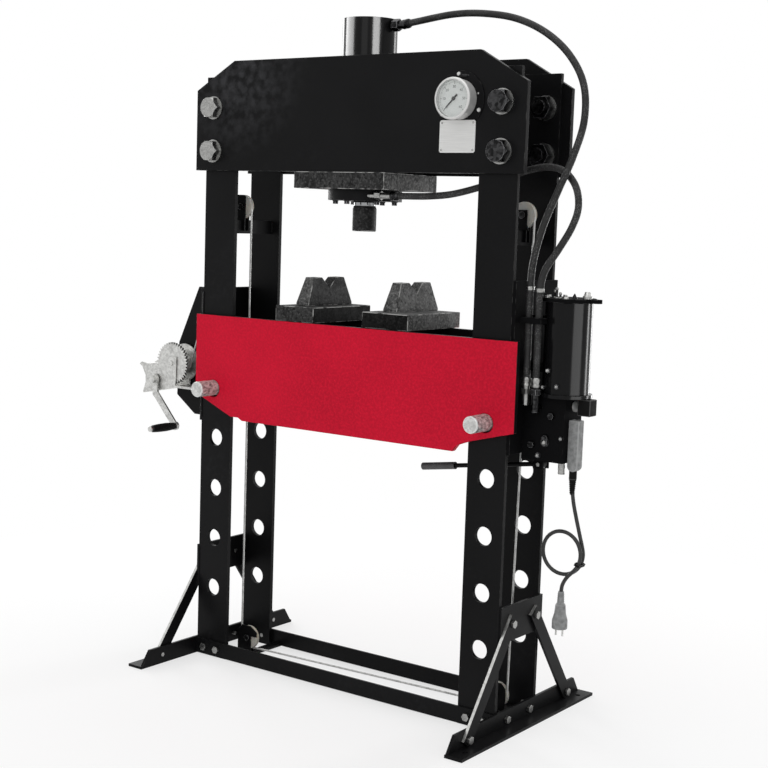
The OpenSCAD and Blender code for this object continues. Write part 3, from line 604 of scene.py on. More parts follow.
def soften(bm, radius, segments=2):
    """Round the sharp outer edges and mark the new faces, where finishes put wear and some paint a
    highlight.
    """
    wear_and_highlight = bm.faces.layers.float.get("edge") or bm.faces.layers.float.new("edge")
    outer = [e for e in bm.edges if len(e.link_faces) == 2]
    chosen = [e for e in outer if e.calc_face_angle_signed(0.0) > SHARP]
    made = bmesh.ops.bevel(
        bm,
        geom=chosen,
        offset=radius,
        offset_type="OFFSET",
        affect="EDGES",
        segments=segments,
        profile=0.5,
        clamp_overlap=True,
        material=-1,
    )
    for face in made["faces"]:
        face[wear_and_highlight] = 1.0
    return bm


def slab(outline, front, back):
    """Flat plate across Y with that outline in X and Z, in millimetres."""
    bm = bmesh.new()
    face = bm.faces.new([bm.verts.new((x * MM, front * MM, z * MM)) for x, z in outline])
    made = bmesh.ops.extrude_face_region(bm, geom=[face])
    far = [item for item in made["geom"] if isinstance(item, bmesh.types.BMVert)]
    bmesh.ops.translate(bm, vec=(0, (back - front) * MM, 0), verts=far)
    bmesh.ops.recalc_face_normals(bm, faces=bm.faces[:])
    return soften(bm, PLATE_ROUND)


def hexagon(across, height):
    """Hexagon standing on Z = 0, its outer edges rounded, sizes in millimetres."""
    bm = bmesh.new()
    corner = across / math.sqrt(3) * MM
    bmesh.ops.create_cone(
        bm, cap_ends=True, segments=6, radius1=corner, radius2=corner, depth=height * MM
    )
    bmesh.ops.translate(bm, vec=(0, 0, height * MM / 2), verts=bm.verts[:])
    return soften(bm, HEX_ROUND)


def facing(point, direction, spin=0.0):
    """Place at a point with the local Z along a direction."""
    turn = Vector(direction).to_track_quat("Z", "Y").to_matrix().to_4x4()
    return Matrix.Translation(point) @ turn @ Matrix.Rotation(spin, 4, "Z")


class Shape:
    """Gathers several forms into one mesh."""

    def __init__(self):
        self.bm = bmesh.new()
        self.bm.faces.layers.float.new("edge")

    def add(self, bm, place=None, material=0):
        if place:
            bm.transform(place)
        for face in bm.faces:
            face.material_index = material
        mesh = bpy.data.meshes.new("form")
        bm.to_mesh(mesh)
        bm.free()
        self.bm.from_mesh(mesh)
        bpy.data.meshes.remove(mesh)
        return self


def piece(name, bm, body, finishes, replaces=(), smooth=32):
    """Object of a finished mesh, riding on its body."""
    for face in bm.faces:
        face.smooth = True
    mesh = bpy.data.meshes.new(name)
    bm.to_mesh(mesh)
    bm.free()
    if not mesh.polygons:
        raise RuntimeError(f"{name} has no faces")
    mesh.set_sharp_from_angle(angle=math.radians(smooth))
    for key in finishes:
        mesh.materials.append(finish(key))
    thing = bpy.data.objects.new(name, mesh)
    bpy.context.scene.collection.objects.link(thing)
    even = thing.modifiers.new("even_shading", "WEIGHTED_NORMAL")
    even.keep_sharp = True
    even.weight = 80
    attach(thing, body)
    if replaces:
        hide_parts(*replaces)
    return thing


def dress(node, *finishes, radius=None, pick=None, towards=None, segments=2):
    """Rounded and finished copy of a solid.

    pick gives the finish of a face from its centre in millimetres, towards from its normal.
    """
    bm = bmesh.new()
    bm.from_mesh(frame["nodes"][node].data)
    bmesh.ops.remove_doubles(bm, verts=bm.verts[:], dist=CAD_MERGE)
    bmesh.ops.dissolve_limit(bm, angle_limit=FLAT, verts=bm.verts[:], edges=bm.edges[:])
    if radius is None:
        radius = bpy.context.scene.press_sizes.edge_round
    if radius:
        soften(bm, radius, segments)
    if pick:
        for face in bm.faces:
            face.material_index = pick(face.calc_center_median() / MM)
    if towards:
        for face in bm.faces:
            face.material_index = towards(face.normal)
    return piece(node + "_finished", bm, BODY_OF[node], finishes, [node])


def weld(name, body, runs, finish_key, radius):
    """Weld beads along straight or curved runs, rippled by the torch."""
    shape = Shape()
    for run in runs:
        route = evenly(run, BEAD_STEP)
        beads = range(len(route))
        radii = [1.0 + 0.13 * math.sin(2.1 * i) + 0.05 * math.sin(0.37 * i) for i in beads]
        radii[0] = radii[-1] = 0.55
        shape.add(sweep(route, radius, 10, radii))
    return piece(name, shape.bm, body, [finish_key], smooth=60)


def rise(x, y, low, high):
    """Upright weld run, in millimetres."""
    return [mm(x, y, low), mm(x, y, high)]


# ---------------------------------------------------------------- routes, as in the solids


BLOCK_X = 534
BLOCK_TOP = 880
HOSE_X = (BLOCK_X + 20, BLOCK_X + 48)
HOSE_Y = -70
HOSE_FOOT = BLOCK_TOP + 25
UPPER_ROUTE = (
    (85, 0, 1832),
    (130, -1, 1838),
    (250, -6, 1850),
    (350, -10, 1846),
    (450, -16, 1827),
    (540, -22, 1787),
    (612, -28, 1729),
    (658, -34, 1656),
    (668, -41, 1570),
    (648, -49, 1485),
    (614, -57, 1398),
    (580, -64, 1310),
    (HOSE_X[0] + 5, HOSE_Y, 1220),
    (HOSE_X[0], HOSE_Y, 1150),
    (HOSE_X[0], HOSE_Y, 1090),
    (HOSE_X[0], HOSE_Y, 1000),
    (HOSE_X[0], HOSE_Y, HOSE_FOOT),
)
LOWER_ROUTE = (
    (115, -70, 1375),
    (160, -67, 1375),
    (225, -62, 1376),
    (290, -53, 1382),
    (350, -43, 1396),
    (410, -34, 1415),
    (470, -27, 1437),
    (525, -24, 1452),
    (574, -25, 1456),
    (617, -28, 1442),
    (650, -33, 1406),
    (662, -39, 1357),
    (650, -46, 1307),
    (622, -57, 1252),
    (HOSE_X[1] + 10, HOSE_Y + 2, 1198),
    (HOSE_X[1], HOSE_Y, 1145),
    (HOSE_X[1], HOSE_Y, 1090),
    (HOSE_X[1], HOSE_Y, 1000),
    (HOSE_X[1], HOSE_Y, HOSE_FOOT),
)
LEAD_TOP = Vector((BLOCK_X + 132, -8, 672))
LEAD_DOWN = ((0, 0, 0), (1, 0, -28), (6, 0, -60), (16, 0, -98), (27, 0, -136))
LEAD_TAIL = ((18, 0, 43), (8, 0, 29), (2, 0, 15), (0, 0, 0))
LOOP_CENTRE = (LEAD_TOP.x - 16, 482)
LOOP_RADIUS = 56
LOOP_Y = (-8, -22)
PLUG_AT = Vector((LOOP_CENTRE[0] + 7, LOOP_Y[1] - 2, 384))
SHEAVE_RADIUS = 30
SHEAVE_Z = 1335
LOW_Z = 58
UPPER_LEFT = (-444, -28)
LOWER_LEFT = (-385, -28)
UPPER_RIGHT = (475, 20)
LOWER_RIGHT = (455, 20)
LUG_TOP = 960
LUG_LOW = 880
LUG_GAP = 4.3  # room for the bed's lift, hidden in the swages
DRUM = (-656, 862)
DRUM_ROPE = 31.4
TAIL_Y = -52


def loop_at(degrees):
    """Point of the lead's hanging loop."""
    a = math.radians(degrees)
    depth = LOOP_Y[0] - (LOOP_Y[1] - LOOP_Y[0]) * degrees / 360
    x, z = LOOP_CENTRE
    return Vector((x + LOOP_RADIUS * math.cos(a), depth, z + LOOP_RADIUS * math.sin(a)))


def lead_route():
    """Lead from the switch box down, round its loop and into the plug."""
    down = [LEAD_TOP + Vector(step) for step in LEAD_DOWN]
    loop = [loop_at(degrees) for degrees in range(16, -405, -20)]
    tail = [PLUG_AT + Vector(step) for step in LEAD_TAIL]
    return catmull([point * MM for point in down + loop + tail], 6)


def arc(middle, y, radius, start, end, count):
    """Points on an arc in a plane across Y, in millimetres."""
    points = []
    for k in range(count + 1):
        a = math.radians(start + (end - start) * k / count)
        x, z = radius * math.cos(a), radius * math.sin(a)
        points.append(Vector((middle[0] + x, y, middle[1] + z)))
    return points


def lift_route():
    """Rope from the drum over the upper left sheave to the bed."""
    run = Vector((UPPER_LEFT[0] - DRUM[0], SHEAVE_Z - DRUM[1]))
    slope = math.degrees(math.atan2(run.y, run.x))
    slope += math.degrees(math.asin((DRUM_ROPE + SHEAVE_RADIUS) / run.length))
    around = arc(DRUM, TAIL_Y, DRUM_ROPE, slope - 250, slope - 90, 24)
    over = arc((UPPER_LEFT[0], SHEAVE_Z), UPPER_LEFT[1], SHEAVE_RADIUS, slope + 90, 0, 24)
    end = Vector((UPPER_LEFT[0] + SHEAVE_RADIUS, UPPER_LEFT[1], LUG_TOP + LUG_GAP))
    return [point * MM for point in around + over + [end]]


def level_route():
    """Rope from the bed under the lower sheaves and over the upper right one."""
    start = Vector((UPPER_LEFT[0] + SHEAVE_RADIUS, LOWER_LEFT[1], LUG_LOW - LUG_GAP))
    under_left = arc((LOWER_LEFT[0], LOW_Z), LOWER_LEFT[1], SHEAVE_RADIUS, 180, 270, 12)
    under_right = arc((LOWER_RIGHT[0], LOW_Z), LOWER_RIGHT[1], SHEAVE_RADIUS, 270, 360, 12)
    over = arc((UPPER_RIGHT[0], SHEAVE_Z), UPPER_RIGHT[1], SHEAVE_RADIUS, 0, 180, 24)
    end = Vector((UPPER_RIGHT[0] - SHEAVE_RADIUS, UPPER_RIGHT[1], LUG_TOP + LUG_GAP))
    return [point * MM for point in [start] + under_left + under_right + over + [end]]


def winding_route():
    """Four turns on the drum."""
    radius, pitch, start, turns, parts = 31.1, 6.6, -85.4, 4, 48
    points = []
    for i in range(turns * parts + 1):
        a = 2 * math.pi * i / parts
        x, z = radius * math.cos(a), radius * math.sin(a)
        points.append(mm(DRUM[0] + x, start + pitch * i / parts, DRUM[1] + z))
    return points


# ---------------------------------------------------------------- operators


CAMERA_AZIMUTH = 35.82
CAMERA_ELEVATION = 6.53
CAMERA_ROLL = 1.90
CAMERA_DISTANCE = 4.0285
CAMERA_LENS = 68.22
CAMERA_TARGET = mm(60.5, 0, 859.3)
LAMP_TARGET = mm(0, 0, 900)
SHADOW_LIGHT = 0.62  # strength of the white surroundings where they only light the press
FLOOR_FADE = (0.7, 2.2)  # distances between which the floor turns to plain white
PAPER = (0.93, 0.93, 0.93, 1.0)
# name, azimuth in degrees, distance, height, size, radiance
LAMPS = (
    ("left_softbox", -112, 3.4, 1.35, (1.0, 2.6), 6.5),
    ("right_softbox", 168, 3.4, 1.35, (0.6, 2.6), 8.0),
    ("front_fill", 14, 6.5, 3.4, (3.0, 3.0), 1.6),
    ("top_fill", 40, 0.6, 4.2, (3.2, 3.2), 0.9),
)
# reflector cards, seen only in the lacquer of the barrel and the tank
GLOSS_CARDS = (
    ("barrel_left_card", -58, 3.4, 2.1, (2.9, 1.7), 34.0),
    ("barrel_front_card", 62, 3.4, 2.1, (1.7, 1.7), 52.0),
    ("tank_left_card", -106, 3.4, 0.75, (0.5, 1.7), 5.0),
    ("tank_side_card", 78, 3.4, 0.75, (2.4, 1.7), 7.0),
    ("tank_back_card", 130, 3.4, 0.75, (0.6, 1.7), 14.0),
)


def catch_cards(thing, start):
    """Let the reflector cards of that name shine on a lacquered piece."""
    for name, *_ in GLOSS_CARDS:
        if name.startswith(start):
            bpy.data.objects[name].light_linking.receiver_collection.objects.link(thing)


class PRESS_OT_stage(bpy.types.Operator):
    """Pale floor, white surroundings, soft studio lamps and the camera"""

    bl_idname = "press.stage"
    bl_label = "Stage"
    bl_options = {"REGISTER", "UNDO"}

    def execute(self, context):
        scene = context.scene
        scene.view_settings.view_transform = "Standard"
        self.camera(scene)
        self.surroundings(scene)
        self.floor(scene)
        for lamp in LAMPS:
            self.lamp(*lamp)
        for card in GLOSS_CARDS:
            shine = self.lamp(*card)
            shine.light_linking.receiver_collection = bpy.data.collections.new(card[0])
            shine.visible_diffuse = False
        return {"FINISHED"}

    def camera(self, scene):
        angles = (CAMERA_AZIMUTH, CAMERA_ELEVATION, CAMERA_ROLL)
        azimuth, elevation, roll = (math.radians(angle) for angle in angles)
        level = math.cos(elevation)
        back = Vector(
            (math.sin(azimuth) * level, -math.cos(azimuth) * level, math.sin(elevation))
        )
        right = Vector((math.cos(azimuth), math.sin(azimuth), 0))
        up = back.cross(right)
        right, up = (
            right * math.cos(roll) + up * math.sin(roll),
            up * math.cos(roll) - right * math.sin(roll),
        )
        data = bpy.data.cameras.new("camera")
        data.lens = CAMERA_LENS
        data.sensor_width = 36.0
        camera = bpy.data.objects.new("camera", data)
        scene.collection.objects.link(camera)
        turn = Matrix((right, up, back)).transposed().to_4x4()
        camera.matrix_world = Matrix.Translation(CAMERA_TARGET + back * CAMERA_DISTANCE) @ turn
        scene.camera = camera

    def seen_directly(self, tree):
        """One for camera, glossy and transmission rays."""
        path = tree.nodes.new("ShaderNodeLightPath")
        value = path.outputs["Is Camera Ray"]
        for other in ("Is Glossy Ray", "Is Transmission Ray"):
            most = tree.nodes.new("ShaderNodeMath")
            most.operation = "MAXIMUM"
            tree.links.new(value, most.inputs[0])
            tree.links.new(path.outputs[other], most.inputs[1])
            value = most.outputs[0]
        return value

    def surroundings(self, scene):
        world = bpy.data.worlds.new("studio")
        scene.world = world
        world.use_nodes = True
        tree = world.node_tree
        light = tree.nodes["Background"]
        light.inputs["Color"].default_value = (1.0, 1.0, 1.0, 1.0)
        strength = tree.nodes.new("ShaderNodeMapRange")
        strength.inputs["To Min"].default_value = SHADOW_LIGHT
        strength.inputs["To Max"].default_value = 1.0
        tree.links.new(self.seen_directly(tree), strength.inputs["Value"])
        tree.links.new(strength.outputs["Result"], light.inputs["Strength"])

    def floor(self, scene):
        bm = bmesh.new()
        bmesh.ops.create_grid(bm, x_segments=8, y_segments=8, size=60.0)
        mesh = bpy.data.meshes.new("floor")
        bm.to_mesh(mesh)
        bm.free()
        f = Finish("floor_paper", Base_Color=PAPER, Roughness=0.9, Specular_IOR_Level=0.0)
        away = f.add("VectorMath", {0: f.place()}, operation="LENGTH").outputs["Value"]
        fade = f.span(away, *FLOOR_FADE, SHADOW_LIGHT, 1.0)
        share = f.times(self.seen_directly(f.tree), fade)
        white = f.add("Emission").outputs[0]
        mix = f.add("MixShader", {0: share, 1: f.shader.outputs[0], 2: white})
        f.feed(f.tree.nodes["Material Output"].inputs["Surface"], mix.outputs[0])
        mesh.materials.append(f.material)
        floor = bpy.data.objects.new("floor", mesh)
        scene.collection.objects.link(floor)

    def lamp(self, name, azimuth, distance, height, size, radiance):
        """Softbox aimed at the press; radiance 1 is as bright as white paper."""
        a = math.radians(azimuth)
        place = Vector((math.sin(a) * distance, -math.cos(a) * distance, height))
        data = bpy.data.lights.new(name, "AREA")
        data.shape = "RECTANGLE"
        data.size, data.size_y = size
        data.energy = radiance * math.pi * size[0] * size[1]
        lamp = bpy.data.objects.new(name, data)
        bpy.context.scene.collection.objects.link(lamp)
        aim = (place - LAMP_TARGET).to_track_quat("Z", "Y")
        lamp.matrix_world = Matrix.Translation(place) @ aim.to_matrix().to_4x4()
        lamp.visible_camera = False
        return lamp


FERRULE = (
    (9.2, 0),
    (12.2, 0.6),
    (12.8, 2),
    (12.8, 6),
    (11.6, 8),
    (11.6, 10),
    (12.8, 12),
    (12.8, 18),
    (12.2, 21),
    (10.2, 24),
    (9.2, 24.4),
)


class PRESS_OT_hoses(bpy.types.Operator):
    """Two wrapped hydraulic hoses with crimped ferrules"""

    bl_idname = "press.hoses"
    bl_label = "Hoses"
    bl_options = {"REGISTER", "UNDO"}

    def execute(self, context):
        sizes = context.scene.press_sizes
        for name, points in (("hose_upper", UPPER_ROUTE), ("hose_lower", LOWER_ROUTE)):
            route = catmull([mm(*point) for point in points], 8)
            hose = piece(
                name + "_finished",
                sweep(route, sizes.hose_diameter / 2, 20),
                "frame",
                ["hose_cover"],
                [name],
                smooth=60,
            )
            ends = Shape()
            ends.add(turned(FERRULE), facing(route[0], route[2] - route[0]), 1)
            ends.add(turned(FERRULE), facing(route[-1], route[-3] - route[-1]))
            ferrules = piece(
                name + "_ferrules",
                ends.bm,
                "frame",
                ["bolt_zinc", "black_oxide"],
                smooth=50,
            )
        return {"FINISHED"}


RELIEF_RIBS = 7
SLEEVE_RIBS = 5
PLUG_BODY = 97.2  # from the lead to the foot of the plug's pins


class PRESS_OT_mains_lead(bpy.types.Operator):
    """Mains lead with its strain relief, strap and plug"""

    bl_idname = "press.mains_lead"
    bl_label = "Mains lead"
    bl_options = {"REGISTER", "UNDO"}

    def execute(self, context):
        sizes = context.scene.press_sizes
        route = lead_route()
        lead = piece(
            "mains_lead_finished",
            sweep(route, sizes.lead_diameter / 2, 16),
            "frame",
            ["lead_cover"],
            ["mains_lead"],
            smooth=60,
        )
        sleeve = self.strain_relief()
        tie = dress("lead_tie", "black_plastic", radius=0.6 * MM)
        plug = dress(
            "mains_plug",
            "grey_plastic",
            "zinc_plate",
            radius=0.6 * MM,
            pick=lambda c: int(c.z < PLUG_AT.z - PLUG_BODY),
        )
        collar = self.plug_ribs()
        return {"FINISHED"}

    def strain_relief(self):
        """Tapered ribbed sleeve that hangs from the switch box."""
        profile = [(5.0, -2), (9.4, -2), (9.6, 0)]
        for k in range(RELIEF_RIBS):
            rim, foot = 9.4 - 0.42 * k, 5.2 * k
            profile += [(rim, foot + 0.4), (rim - 0.1, foot + 2.8)]
            profile += [(rim - 1.6, foot + 3.4), (rim - 1.7, foot + 4.8)]
        profile += [(5.9, 37.5), (5.1, 38.2)]
        bm = turned(profile, 28)
        bm.transform(facing(LEAD_TOP * MM, (0, 0, -1)))
        return piece(
            "lead_strain_relief", bm, "frame", ["black_plastic"], smooth=50
        )

    def plug_ribs(self):
        """Ribs round the plug's neck."""
        ribs = Shape()
        for k in range(SLEEVE_RIBS):
            top, rim = -6 - 4.6 * k, 8.6 + 0.16 * k
            ring = [(7.4, top), (rim, top - 0.8), (rim + 0.1, top - 2.0), (7.6, top - 2.8)]
            ribs.add(turned(ring + ring[:1], 28), Matrix.Translation(PLUG_AT * MM))
        return piece(
            "plug_sleeve_ribs", ribs.bm, "frame", ["grey_plastic"], smooth=50
        )


SWAGE = (
    (3.1, 30),
    (5.2, 29.4),
    (5.8, 28),
    (5.8, 9),
    (7.6, 8),
    (8.4, 7),
    (8.4, 0.6),
    (8.0, 0),
    (3.1, 0),
)
LAY_STEPS = 9
STRAND_POINTS = 24


class PRESS_OT_ropes(bpy.types.Operator):
    """Laid wire ropes, the turns on the drum and the swaged ends on the bed"""

    bl_idname = "press.ropes"
    bl_label = "Wire ropes"
    bl_options = {"REGISTER", "UNDO"}

    def execute(self, context):
        sizes = context.scene.press_sizes
        strands = self.strands(sizes.rope_diameter / 2)
        step = sizes.rope_lay / LAY_STEPS

        def laid(node, body, route):
            bm = sweep(route, 0, section=strands, turn=2 * math.pi / sizes.rope_lay)
            name = node + "_finished"
            return piece(name, bm, body, ["wire_rope"], [node], smooth=60)

        for node, route in (("lift_rope", lift_route()), ("level_rope", level_route())):
            close = evenly(route, step)
            laid(node, "frame", close)
        laid("rope_winding", "drum", evenly(winding_route(), step))
        bpy.data.objects.remove(strands)
        left, right = UPPER_LEFT[0] + SHEAVE_RADIUS, UPPER_RIGHT[0] - SHEAVE_RADIUS
        ends = Shape()
        for place, up in (
            (mm(left, UPPER_LEFT[1], LUG_TOP), 1),
            (mm(left, LOWER_LEFT[1], LUG_LOW), -1),
            (mm(right, UPPER_RIGHT[1], LUG_TOP), 1),
        ):
            ends.add(turned(SWAGE, 24), facing(place, (0, 0, up)))
        piece("rope_swages", ends.bm, "bed", ["zinc_plate"], smooth=40)
        return {"FINISHED"}

    def strands(self, radius):
        """Cross-section of six strands."""
        line = bpy.data.curves.new("strands", "CURVE")
        line.dimensions = "2D"
        spline = line.splines.new("POLY")
        spline.points.add(STRAND_POINTS - 1)
        for k, knot in enumerate(spline.points):
            a = 2 * math.pi * k / STRAND_POINTS
            r = radius * (0.84 + 0.16 * abs(math.cos(3 * a)))
            knot.co = (r * math.cos(a), r * math.sin(a), 0, 1)
        spline.use_cyclic_u = True
        section = bpy.data.objects.new("strands", line)
        bpy.context.scene.collection.objects.link(section)
        return section


UPRIGHT_INSIDE = 93
TIE_FACE = 524
TIE_EDGE = 105


class PRESS_OT_frame_steel(bpy.types.Operator):
    """Uprights, feet, braces, ties and their bolts"""

    bl_idname = "press.frame_steel"
    bl_label = "Frame steel"
    bl_options = {"REGISTER", "UNDO"}

    def execute(self, context):
        sizes = context.scene.press_sizes
        for node in (
            "upright_front_left",
            "upright_front_right",
            "upright_rear_left",
            "upright_rear_right",
            "foot_left",
            "foot_right",
            "cross_bars",
            "side_ties",
            "sheave_carriers",
        ):
            dress(node, "black_enamel")
        # The upward front faces of the braces take bright zinc: a painted highlight along each
        # brace
        dress(
            "braces",
            "black_enamel",
            "zinc_plate",
            towards=lambda n: int(n.y < -0.5 and n.z > 0.1),
        )
        dress("frame_bolts", "bolt_zinc", radius=sizes.small_round)
        runs = []
        for x in (UPPER_LEFT[0], UPPER_RIGHT[0]):
            for y in (-UPRIGHT_INSIDE, UPRIGHT_INSIDE):
                for side in (-6, 6):
                    runs.append(rise(x + side, y, SHEAVE_Z - 75, SHEAVE_Z - 42))
        low, high = (corner.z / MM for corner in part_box("side_ties"))
        for x in (-TIE_FACE, TIE_FACE):
            for y in (-TIE_EDGE, TIE_EDGE):
                runs.append(rise(x, y, low + 4, high - 4))
        weld("frame_welds", "frame", runs, "black_enamel", sizes.weld_radius)
        return {"FINISHED"}


BOLT_HEAD = 126.3  # from the middle plane to the washer under a bolt head
NUT_FACE = 86.7
WIPER = ((30.3, 0), (37, 0), (37, -2.2), (35.6, -4), (31, -4), (30.3, -3), (30.3, 0))
WASHER = ((0, 0), (9, 0), (9, 1.6), (8.6, 2), (0, 2))
GLAND_SCREWS = 6
GLAND_CIRCLE = 82
BEARING_SIDE = 120


class PRESS_OT_head(bpy.types.Operator):
    """Head plates, bolts, bearing plate, cylinder and ram"""

    bl_idname = "press.head"
    bl_label = "Head and ram"
    bl_options = {"REGISTER", "UNDO"}

    def execute(self, context):
        sizes = context.scene.press_sizes
        dress("head_plate_front", "head_enamel")
        dress("head_plate_rear", "black_enamel")
        dress("head_bolts", "bolt_zinc", "black_oxide", radius=2.0 * MM, pick=self.bolt_finish_and_dark_reflection)
        low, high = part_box("bearing_plate")
        # The right end face of the bearing plate takes the lighter cast iron: painted light on the
        # face lit from the right
        dress(
            "bearing_plate",
            "mill_scale",
            "cast_iron",
            radius=sizes.cast_round,
            pick=lambda c: int(c.x > high.x / MM - 1),
        )
        barrel = dress("cylinder_barrel", "gloss_enamel", radius=2.0 * MM, segments=3)
        catch_cards(barrel, "barrel")
        dress("gland_flange", "black_enamel", radius=1.2 * MM)
        dress("ram", "hard_chrome", radius=0.4 * MM)
        dress("ram_tip", "mill_scale", radius=0.8 * MM)
        under = Vector((centre("ram").x, 0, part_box("gland_flange")[0].z))
        wiper = turned(WIPER, 64)
        wiper.transform(Matrix.Translation(under))
        piece("ram_wiper", wiper, "frame", ["black_plastic"], smooth=40)
        screws = Shape()
        for k in range(GLAND_SCREWS):
            a = math.radians(30 + 360 / GLAND_SCREWS * k)
            aside = mm(GLAND_CIRCLE * math.cos(a), GLAND_CIRCLE * math.sin(a), 0)
            place = facing(under + aside, (0, 0, -1), a)
            screws.add(turned(WASHER, 24), place)
            screws.add(hexagon(14, 8), place @ Matrix.Translation((0, 0, 2 * MM)))
        piece("gland_screws", screws.bm, "frame", ["black_oxide"], smooth=40)
        runs = []
        for y in (-BEARING_SIDE * MM, BEARING_SIDE * MM):
            ends = (low.x + 8 * MM, high.x - 8 * MM)
            runs.append([Vector((x, y, high.z)) for x in ends])
        weld("head_welds", "frame", runs, "black_enamel", sizes.weld_radius)
        return {"FINISHED"}

    def bolt_finish_and_dark_reflection(self, c):
        """Black heads on the right as a painted dark reflection, black nuts inside, on bright
        washers.
        """
        return int((c.x > 0 and c.y < -BOLT_HEAD) or abs(c.y) < NUT_FACE)


CASE_FLANGE = 3.5
DIAL_MARKS = 60
DIAL_NUMBERS = 6
DIAL_START = 225
DIAL_SWEEP = 270
MARK_RADIUS = 42.5
NUMBER_RADIUS = 29.5
RIVET_INSET = 7 * MM
LABEL_RIVET = ((0, 1.5), (1.3, 1.4), (2.3, 1.0), (2.9, 0.3), (3.0, 0), (0, 0))


class PRESS_OT_gauge(bpy.types.Operator):
    """Pressure gauge with its scale, and the bare label plate"""

    bl_idname = "press.gauge"
    bl_label = "Gauge and label"
    bl_options = {"REGISTER", "UNDO"}

    def execute(self, context):
        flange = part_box("head_plate_front")[0].y / MM - CASE_FLANGE
        dress(
            "gauge_case",
            "plate_metal",
            "black_enamel",
            radius=0.6 * MM,
            pick=lambda c: int(c.y >= flange),
        )
        dress("gauge_dial", "dial_face", radius=0)
        dress("gauge_needle", "dial_ink", radius=0)
        dress("gauge_glass", "gauge_glass", radius=0.4 * MM)
        dial = centre("gauge_dial")
        dial.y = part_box("gauge_dial")[0].y
        shape = Shape()
        for k in range(DIAL_MARKS + 1):
            self.mark(shape, dial, k)
        for k in range(DIAL_NUMBERS + 1):
            self.number(shape, dial, k)
        piece("gauge_scale", shape.bm, "frame", ["dial_ink"])
        dress("label_plate", "plate_metal", radius=0.4 * MM)
        low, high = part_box("label_plate")
        rivets = Shape()
        for x in (low.x + RIVET_INSET, high.x - RIVET_INSET):
            for z in (low.z + RIVET_INSET, high.z - RIVET_INSET):
                rivets.add(turned(LABEL_RIVET, 20), facing((x, low.y, z), (0, -1, 0)))
        piece("label_rivets", rivets.bm, "frame", ["bolt_zinc"], smooth=40)
        return {"FINISHED"}

    def mark(self, shape, dial, k):
        """One line of the scale, longer and wider at every fifth and tenth."""
        tall, wide = (6.5, 1.0) if k % 10 == 0 else (4.6, 0.6) if k % 5 == 0 else (3.0, 0.4)
        bm = bmesh.new()
        bmesh.ops.create_cube(bm, size=1.0)
        bmesh.ops.scale(bm, vec=Vector((wide, 0.2, tall)) * MM, verts=bm.verts[:])
        a = math.radians(DIAL_START - DIAL_SWEEP * k / DIAL_MARKS)
        reach = Matrix.Translation((0, 0, (MARK_RADIUS - tall / 2) * MM))
        turn = Matrix.Rotation(math.pi / 2 - a, 4, "Y")
        shape.add(bm, Matrix.Translation(dial) @ turn @ reach)

    def number(self, shape, dial, k):
        """One plain number of the scale."""
        text = bpy.data.curves.new("number", "FONT")
        text.body = str(10 * k)
        text.size = 9.5 * MM
        text.extrude = 0.08 * MM
        text.align_x, text.align_y = "CENTER", "CENTER"
        a = math.radians(DIAL_START - DIAL_SWEEP * k / DIAL_NUMBERS)
        at = dial + mm(NUMBER_RADIUS * math.cos(a), 0, NUMBER_RADIUS * math.sin(a))
        shape.add(solid_of(text), Matrix.Translation(at) @ Matrix.Rotation(math.pi / 2, 4, "X"))


SKIN = 0.3
WEB_FACES = (-380, -368, -162, -150, 150, 162, 368, 380)
BED_INSIDE = 106
SQUARE_ON = 0.7  # least part of a normal that makes a face look along an axis


class PRESS_OT_bed(bpy.types.Operator):
    """Red bed, its pins, press plates and vee blocks"""

    bl_idname = "press.bed"
    bl_label = "Bed"
    bl_options = {"REGISTER", "UNDO"}

    def execute(self, context):
        sizes = context.scene.press_sizes
        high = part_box("bed_plate_front")[1] / MM
        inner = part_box("bed_plate_rear")[0].y / MM
        for node, inside in (
            ("bed_plate_front", lambda c: c.y > high.y - SKIN),
            ("bed_plate_rear", lambda c: c.y < inner + SKIN),
        ):
            dress(
                node,
                "red_enamel",
                "black_enamel",
                radius=1.2 * MM,
                pick=lambda c: int(c.z > high.z - SKIN or c.x > high.x - SKIN or inside(c)),
            )
        dress("bed_webs", "black_enamel")
        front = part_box("pin_left")[0].y / MM + 0.4
        for node in ("pin_left", "pin_right"):
            dress(
                node,
                "turned_steel",
                "zinc_plate",
                radius=1.2 * MM,
                pick=lambda c: int(c.y < front),
            )
        for node, finishes, towards in (
            # painted shade: the right face of the left plate and the front face of the right plate
            # take the darker copy of scale
            ("press_plate_left", ("mill_scale", "dark_scale"), lambda n: int(n.x > SQUARE_ON)),
            ("press_plate_right", ("cast_iron", "dark_scale"), lambda n: int(n.y < -SQUARE_ON)),
            # painted light: the front face of the left vee block takes the lighter cast iron
            ("vee_block_left", ("mill_scale", "cast_iron"), lambda n: int(n.y < -SQUARE_ON)),
            ("vee_block_right", ("cast_iron",), None),
        ):
            dress(node, *finishes, radius=sizes.cast_round, towards=towards)
        low, high = (corner.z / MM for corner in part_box("bed_webs"))
        runs = [rise(x, y, low + 8, high - 8) for x in WEB_FACES for y in (-BED_INSIDE, BED_INSIDE)]
        weld("bed_welds", "bed", runs, "black_enamel", sizes.weld_radius)
        return {"FINISHED"}


GUSSET_EDGE = -532
GUSSET_FACES = (-34, -26)
WALL_TOP = 380


